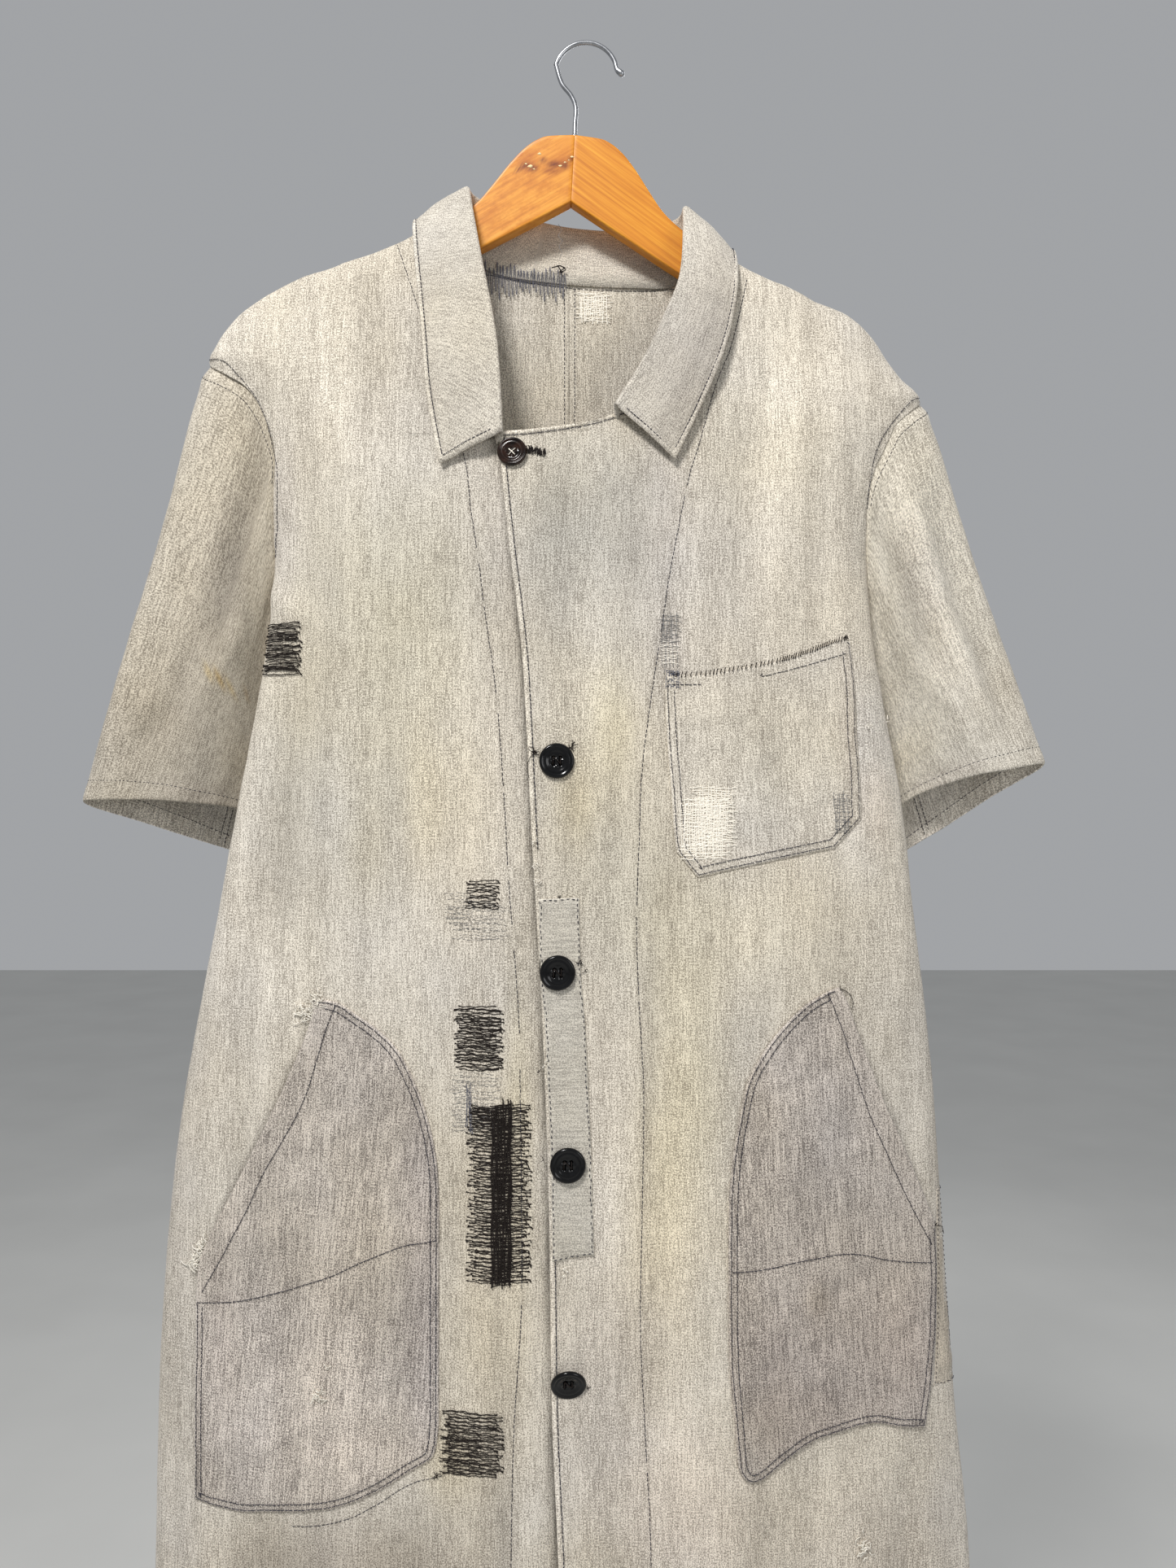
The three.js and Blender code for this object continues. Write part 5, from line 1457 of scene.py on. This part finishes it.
# ------------------------------------------------------------------ buttons
def button(name, x, z, radius, node, mat, slot, lift, thread, tip=(0.0, 0.0)):
    """A turned four-hole button with a raised rim, sewn on through its holes."""
    centre = on_over(np.array(x), np.array(z), np.array(0.0))
    across = on_over(np.array(x + 7.0), np.array(z), np.array(0.0)) - on_over(np.array(x - 7.0),
        np.array(z), np.array(0.0))
    up = on_over(np.array(x), np.array(z + 9.0), np.array(0.0)) - on_over(np.array(x), np.array(z - 9.0),
        np.array(0.0))
    ax, az = unit(across), unit(up)
    az = unit(az - ax * (ax @ az))
    out = unit(np.cross(ax, az))
    out = unit(out + ax * tip[0] + az * tip[1])
    ax = unit(ax - out * (out @ ax))
    az = np.cross(out, ax)
    hole, pitch, dish = radius * 0.085, radius * 0.2, radius * 0.46
    seg = 72
    turn = np.arange(seg) / seg * math.tau
    ring = np.stack([np.cos(turn), np.sin(turn)], -1)
    floor = 2.35
    flat = [ring * dish]
    edges = [(i, (i + 1) % seg) for i in range(seg)]
    holes = []
    for sx, sz in ((-1, -1), (1, -1), (1, 1), (-1, 1)):
        small = ring[::6] * hole + np.array([sx, sz]) * pitch
        base = sum(len(f) for f in flat)
        holes.append(base + np.arange(12))
        edges += [(base + i, base + (i + 1) % 12) for i in range(12)]
        flat.append(small)
    flat = np.vstack(flat)
    made = delaunay_2d_cdt([Vector(p) for p in flat.tolist()], edges, [], 0, 1e-6)
    pts = np.array([tuple(v) for v in made[0]])
    verts = [np.column_stack([pts, np.full(len(pts), floor)])]
    faces = []
    for f in made[2]:
        mid = pts[list(f)].mean(0)
        open_here = any(np.hypot(*(mid - np.array(s) * pitch)) < hole * 0.98 for s in ((-1, -1), (1, -1),
            (1, 1), (-1, 1)))
        if not open_here and np.hypot(*mid) < dish:
            faces.append(list(f))
    count = len(pts)
    for h in holes:
        low = np.column_stack([flat[h], np.full(12, floor - 1.6)])
        verts.append(low)
        for i in range(12):
            j = (i + 1) % 12
            faces.append([int(h[i]), int(h[j]), count + j, count + i])
        faces.append([count + i for i in range(12)])
        count += 12
    profile = [(dish, floor), (dish + 0.35, floor + 0.06), (radius * 0.58, floor + 0.55),
        (radius * 0.68, floor + 1.0), (radius * 0.73, floor + 0.6), (radius * 0.77, floor + 0.65),
        (radius * 0.84, floor + 1.5), (radius * 0.92, floor + 1.45), (radius * 0.98, floor + 0.55),
        (radius, floor - 0.2), (radius * 0.985, floor - 1.0), (radius * 0.9, floor - 1.9),
        (radius * 0.6, floor - 2.3)]
    first = count
    for r, h in profile:
        verts.append(np.column_stack([ring * r, np.full(seg, h)]))
        count += seg
    for k in range(len(profile) - 1):
        for i in range(seg):
            j = (i + 1) % seg
            a, b = first + k * seg, first + (k + 1) * seg
            faces.append([a + i, b + i, b + j, a + j])
    faces.append([first + (len(profile) - 1) * seg + i for i in range(seg)][::-1])
    local = np.vstack(verts)
    world = centre + local[:, [0]] * ax + local[:, [1]] * az + (local[:, [2]] + lift) * out
    make(name, world, faces, mat, [node], local)
    loops = Thread(5)

    def spot(p, h):
        return centre + p[0] * ax + p[1] * az + (h + lift) * out

    pairs = [((-1, -1), (1, 1)), ((1, -1), (-1, 1))] if thread is WHITE_THREAD else [((-1, -1), (-1, 1)),
        ((1, -1), (1, 1)), ((-1, 1), (1, -1))]
    for k, (a, b) in enumerate(pairs * 2):
        wob = 0.25 * (k % 3 - 1)
        a, b = np.array(a) * pitch + wob, np.array(b) * pitch + wob
        path = np.array([spot(a, floor - 1.2), spot(a, floor + 0.1),
            spot(a * 0.7 + b * 0.3, floor + 0.5 + k * 0.06),
            spot(a * 0.3 + b * 0.7, floor + 0.5 + k * 0.06), spot(b, floor + 0.1), spot(b, floor - 1.2)])
        loops.tubes(path[None], np.full((1, 6), 0.19 if thread is WHITE_THREAD else 0.34),
            np.broadcast_to(out, (1, 6, 3)) + 0.01)
    for k in range(5):
        a = k / 5 * math.tau
        p = np.array([math.cos(a), math.sin(a)]) * 1.2
        path = np.array([spot(p, h) for h in (floor - 2.0, floor - 3.2, -lift - 0.2 + 0.8)])
        loops.tubes(path[None], np.full((1, 3), 0.5), np.broadcast_to(ax, (1, 3, 3)) + 0.01)
    loops.piece(name + "_thread", thread, slot)


BUTTONS = [(-50.1, -312.6), (-18.7, -529.1), (-18.0, -673.3), (-10.8, -803.8), (-10.5, -951.0)]
for i, (x, z) in enumerate(BUTTONS):
    first = i == 0
    raise_by = 0.6 + (1.8 if i in (2, 3) else 0.0)
    tip = [(-0.05, 0.0), (0.03, -0.04), (0, -0.06), (0, -0.03), (0.02, -0.42)][i]
    button("sewn_button_%d" % (i + 1), x, z, 10.4 if first else 12.2, "button_%d" % (i + 1),
        BUTTON_HORN if first else BUTTON_BLACK, "horn_button" if first else "black_button",
        raise_by + (1.6 if i == 4 else 0), WHITE_THREAD if first else BLACK_WOOL, tip)


# ------------------------------------------------------------------ hanger
APEX, TILT = np.array([-6.8, 0, -69]), math.radians(3.2)
arm_top = through([(0, 0), (20, -2), (28, -5.5), (35.5, -11.3), (45, -22), (58, -40), (67.5, -52.4),
    (76, -60.3), (86, -67.8), (100, -78), (116, -88.5), (131, -96.5), (156, -108), (183, -121),
    (203, -131.5), (213, -141)])
arm_low = through([(0, -49.4), (40, -73), (85, -99), (130, -122), (180, -143), (203, -151.5), (213, -147)])


def hanger_half(side):
    sign = -1 if side == "right" else 1
    x = np.concatenate([[0.03, 0.4, 0.9], np.linspace(3, 208, 96), [210, 211.5, 212.5, 213]])
    rows = []
    face = np.linspace(-1, 1, 30)
    bend = np.radians([22.5, 45, 67.5])
    flat, wide = np.cos(bend), np.sin(bend)
    # each point of the section: shares of the half thickness and half height, then of the corner's radius
    outline = [(1, f, 1, 0) for f in face] + [(1, 1, a, b) for a, b in zip(flat, wide)] + [(f, 1, 0, 1)
        for f in (1, 0.5, 0, -0.5, -1)]
    outline += [(-1, 1, -a, b) for a, b in zip(flat[::-1], wide[::-1])] + [(-1, f, -1, 0) for f in face[::-1]]
    outline += [(-1, -1, -a, -b) for a, b in zip(flat, wide)] + [(f, -1, 0, -1) for f in (-1, -0.5, 0, 0.5,
        1)]
    outline += [(1, -1, a, -b) for a, b in zip(flat[::-1], wide[::-1])]
    outline = np.array(outline)
    for at in x:
        top, low = float(arm_top(at)), float(arm_low(at))
        mid, tall = (top + low) / 2, (top - low) / 2
        thick = 6.0 - 1.2 * smooth((at - 120) / 90) - 0.22 * smooth(1 - at / 0.7)
        tall = tall - 0.22 * float(smooth(1 - at / 0.7))
        end = float(np.sqrt(max(0.0, 1 - ((at - 203) / 10.2) ** 2))) if at > 203 else 1.0
        round_off = min(1.3, tall * 0.5) * end
        py = outline[:, 0] * (thick * end - round_off) + outline[:, 2] * round_off
        pz = mid + outline[:, 1] * (tall * end - round_off) + outline[:, 3] * round_off
        rows.append(np.stack([np.full(len(outline), sign * at), -py, pz], -1))
    p = np.array(rows)
    slope = -math.radians(33)
    along = p[..., 0] * sign * np.cos(slope) + p[..., 2] * np.sin(slope)
    across = -p[..., 0] * sign * np.sin(slope) + p[..., 2] * np.cos(slope)
    grain = np.stack([along + (500 if side == "left" else 0), across, p[..., 1]], -1)
    rot = np.array([[math.cos(TILT), 0, math.sin(TILT)], [0, 1, 0], [-math.sin(TILT), 0, math.cos(TILT)]])
    verts = p @ rot.T + APEX
    tone = None
    if side == "right":
        dark = (0.30, 0.16, 0.10)
        tone = spots(verts[..., 0], verts[..., 2], [(-43, -92, 3.6, 2.0, dark), (-37, -94, 3.2, 2.4, dark),
            (-22, -91, 5.0, 2.2, dark), (-14, -92, 2.6, 2.6, dark), (-30, -88, 2.4, 1.6, dark),
            (-9, -87, 2.6, 2.2, dark), (-48, -95, 2.6, 1.4, dark), (-24, -96, 7, 2.0, (0.55, 0.4, 0.3)),
            (-40, -91, 8, 5, (0.72, 0.55, 0.42)), (-18, -90, 9, 5, (0.74, 0.58, 0.45)),
            (-40, -84, 12, 5, (0.86, 0.74, 0.62)), (-14, -82, 8, 8, (0.88, 0.78, 0.66))])
        tone = np.where(verts[..., [1]] < 0, tone, 1.0)
    rows, cols = p.shape[:2]
    faces = quads(rows, cols, True, side == "right").tolist()
    ends = [list(range(cols)), [(rows - 1) * cols + i for i in range(cols)]]
    faces += [ends[0], ends[1][::-1]] if side == "right" else [ends[0][::-1], ends[1]]
    make(side + "_hanger_arm", verts, faces, WOOD_BURL if side == "right" else WOOD_STRAIGHT,
                ["hanger_" + side], grain, tone)


for side in ("right", "left"):
    hanger_half(side)


def hook():
    """The wire hook, from its ball end over the loop and down into the wood."""
    arc = [(1.5 + 23 * math.cos(a), -21.3 + 23 * math.sin(a)) for a in np.radians(np.linspace(8, 166, 12))]
    line = [(29.6, -22.6), (26.6, -20.3)] + arc + [(-20.4, -15.5), (-16.4, -28.4), (-9.4, -37.6),
        (-6, -46.5), (-6.5, -58), (-6.9, -71)]
    p = curve([(x, 0, z) for x, z in line], 0.9)
    t = Thread(18)
    radius = np.full((1, len(p)), 1.7)
    end = np.arange(6)
    radius[0, :6] = 2.45 * np.sqrt(np.maximum(0.04, 1 - ((2.6 - end * 0.9) / 2.7) ** 2))
    radius[0, 5:8] = [2.2, 1.95, 1.75]
    t.tubes(p[None], radius, np.broadcast_to([0.0, -1.0, 0.0], (1, len(p), 3)))
    make("wire_hook", np.concatenate(t.verts), t.faces, STEEL, ["hanger_hook"])
    collar_ring = Thread(20)
    base = np.array([[-6.9, 0, z] for z in (-66.6, -67.4, -68.6, -69.4)])
    collar_ring.tubes(base[None], np.array([[2.2, 2.9, 3.0, 2.7]]), np.broadcast_to([0.0, -1.0, 0.0],
        (1, 4, 3)))
    collar_ring.piece("hook_ferrule", STEEL, "hook_steel")


hook()


def chips():
    """Pale chips of bare wood in the varnish of the knotted half."""
    rng = np.random.default_rng(7)
    verts, faces = [], []
    for x, z, size in ((-39.5, -92.5, 2.2), (-42.5, -90.6, 1.2), (-17.5, -92.2, 1.6), (-14, -89.6, 1.2),
            (-32.5, -83.2, 1.7), (-8.6, -85.6, 1.5), (-36.5, -94.5, 1.0), (-11, -88, 0.9)):
        base = len(verts)
        n = 9
        verts.append((x, -6.25, z))
        for k in range(n):
            r = size * rng.uniform(0.55, 1.1)
            a = k / n * math.tau
            verts.append((x + r * math.cos(a), -6.03, z + 0.6 * r * math.sin(a)))
        faces += [[base, base + 1 + k, base + 1 + (k + 1) % n] for k in range(n)]
        verts += [(px, -5.6, pz) for px, _, pz in verts[base + 1:base + 1 + n]]
        faces += [[base + 1 + k, base + 1 + n + k, base + 1 + n + (k + 1) % n, base + 1 + (k + 1) % n]
            for k in range(n)]
        faces.append([base + 1 + n + k for k in range(n)][::-1])
    make("varnish_chips", np.array(verts), faces, plain("bare_wood", (0.85, 0.66, 0.36), 0.2, 0.6, 0, 400))


chips()


# ------------------------------------------------------------------ floor, light and camera
bpy.ops.mesh.primitive_plane_add(size=14, location=(0, 0, -1.75))
floor = bpy.context.object
floor.name = "floor"
floor.data.materials.append(plain("floor_grey", (0.62, 0.62, 0.60), 0.03, 0.9, 0, 3))

world = bpy.data.worlds.new("studio")
world.use_nodes = True
world.node_tree.nodes["Background"].inputs[0].default_value = (0.80, 0.82, 0.85, 1)
world.node_tree.nodes["Background"].inputs[1].default_value = 0.45
bpy.context.scene.world = world


def lamp(name, place, target, size, power, colour=(1, 1, 1)):
    data = bpy.data.lights.new(name, "AREA")
    data.shape = "RECTANGLE"
    data.size, data.size_y = size
    data.energy = power
    data.color = colour
    obj = bpy.data.objects.new(name, data)
    bpy.context.collection.objects.link(obj)
    obj.location = place
    obj.rotation_euler = (Vector(target) - Vector(place)).to_track_quat("-Z", "Y").to_euler()


lamp("key", (-0.75, -1.75, 1.45), (0.05, 0, -0.75), (0.6, 0.5), 66, (1.0, 0.985, 0.965))
lamp("fill", (1.5, -1.6, -0.2), (0, 0, -0.7), (0.8, 1.0), 8)
lamp("rear", (0.6, 1.8, 0.6), (0, 0, -0.6), (1.2, 1.2), 16)

camera = bpy.data.cameras.new("camera")
camera.lens = 28.02
camera.sensor_width = 36
view = bpy.data.objects.new("camera", camera)
bpy.context.collection.objects.link(view)
view.location = (0.003, -0.9, -0.545)
view.rotation_euler = (math.radians(90), 0, 0)
bpy.context.scene.camera = view
bpy.context.scene.view_settings.view_transform = "Standard"
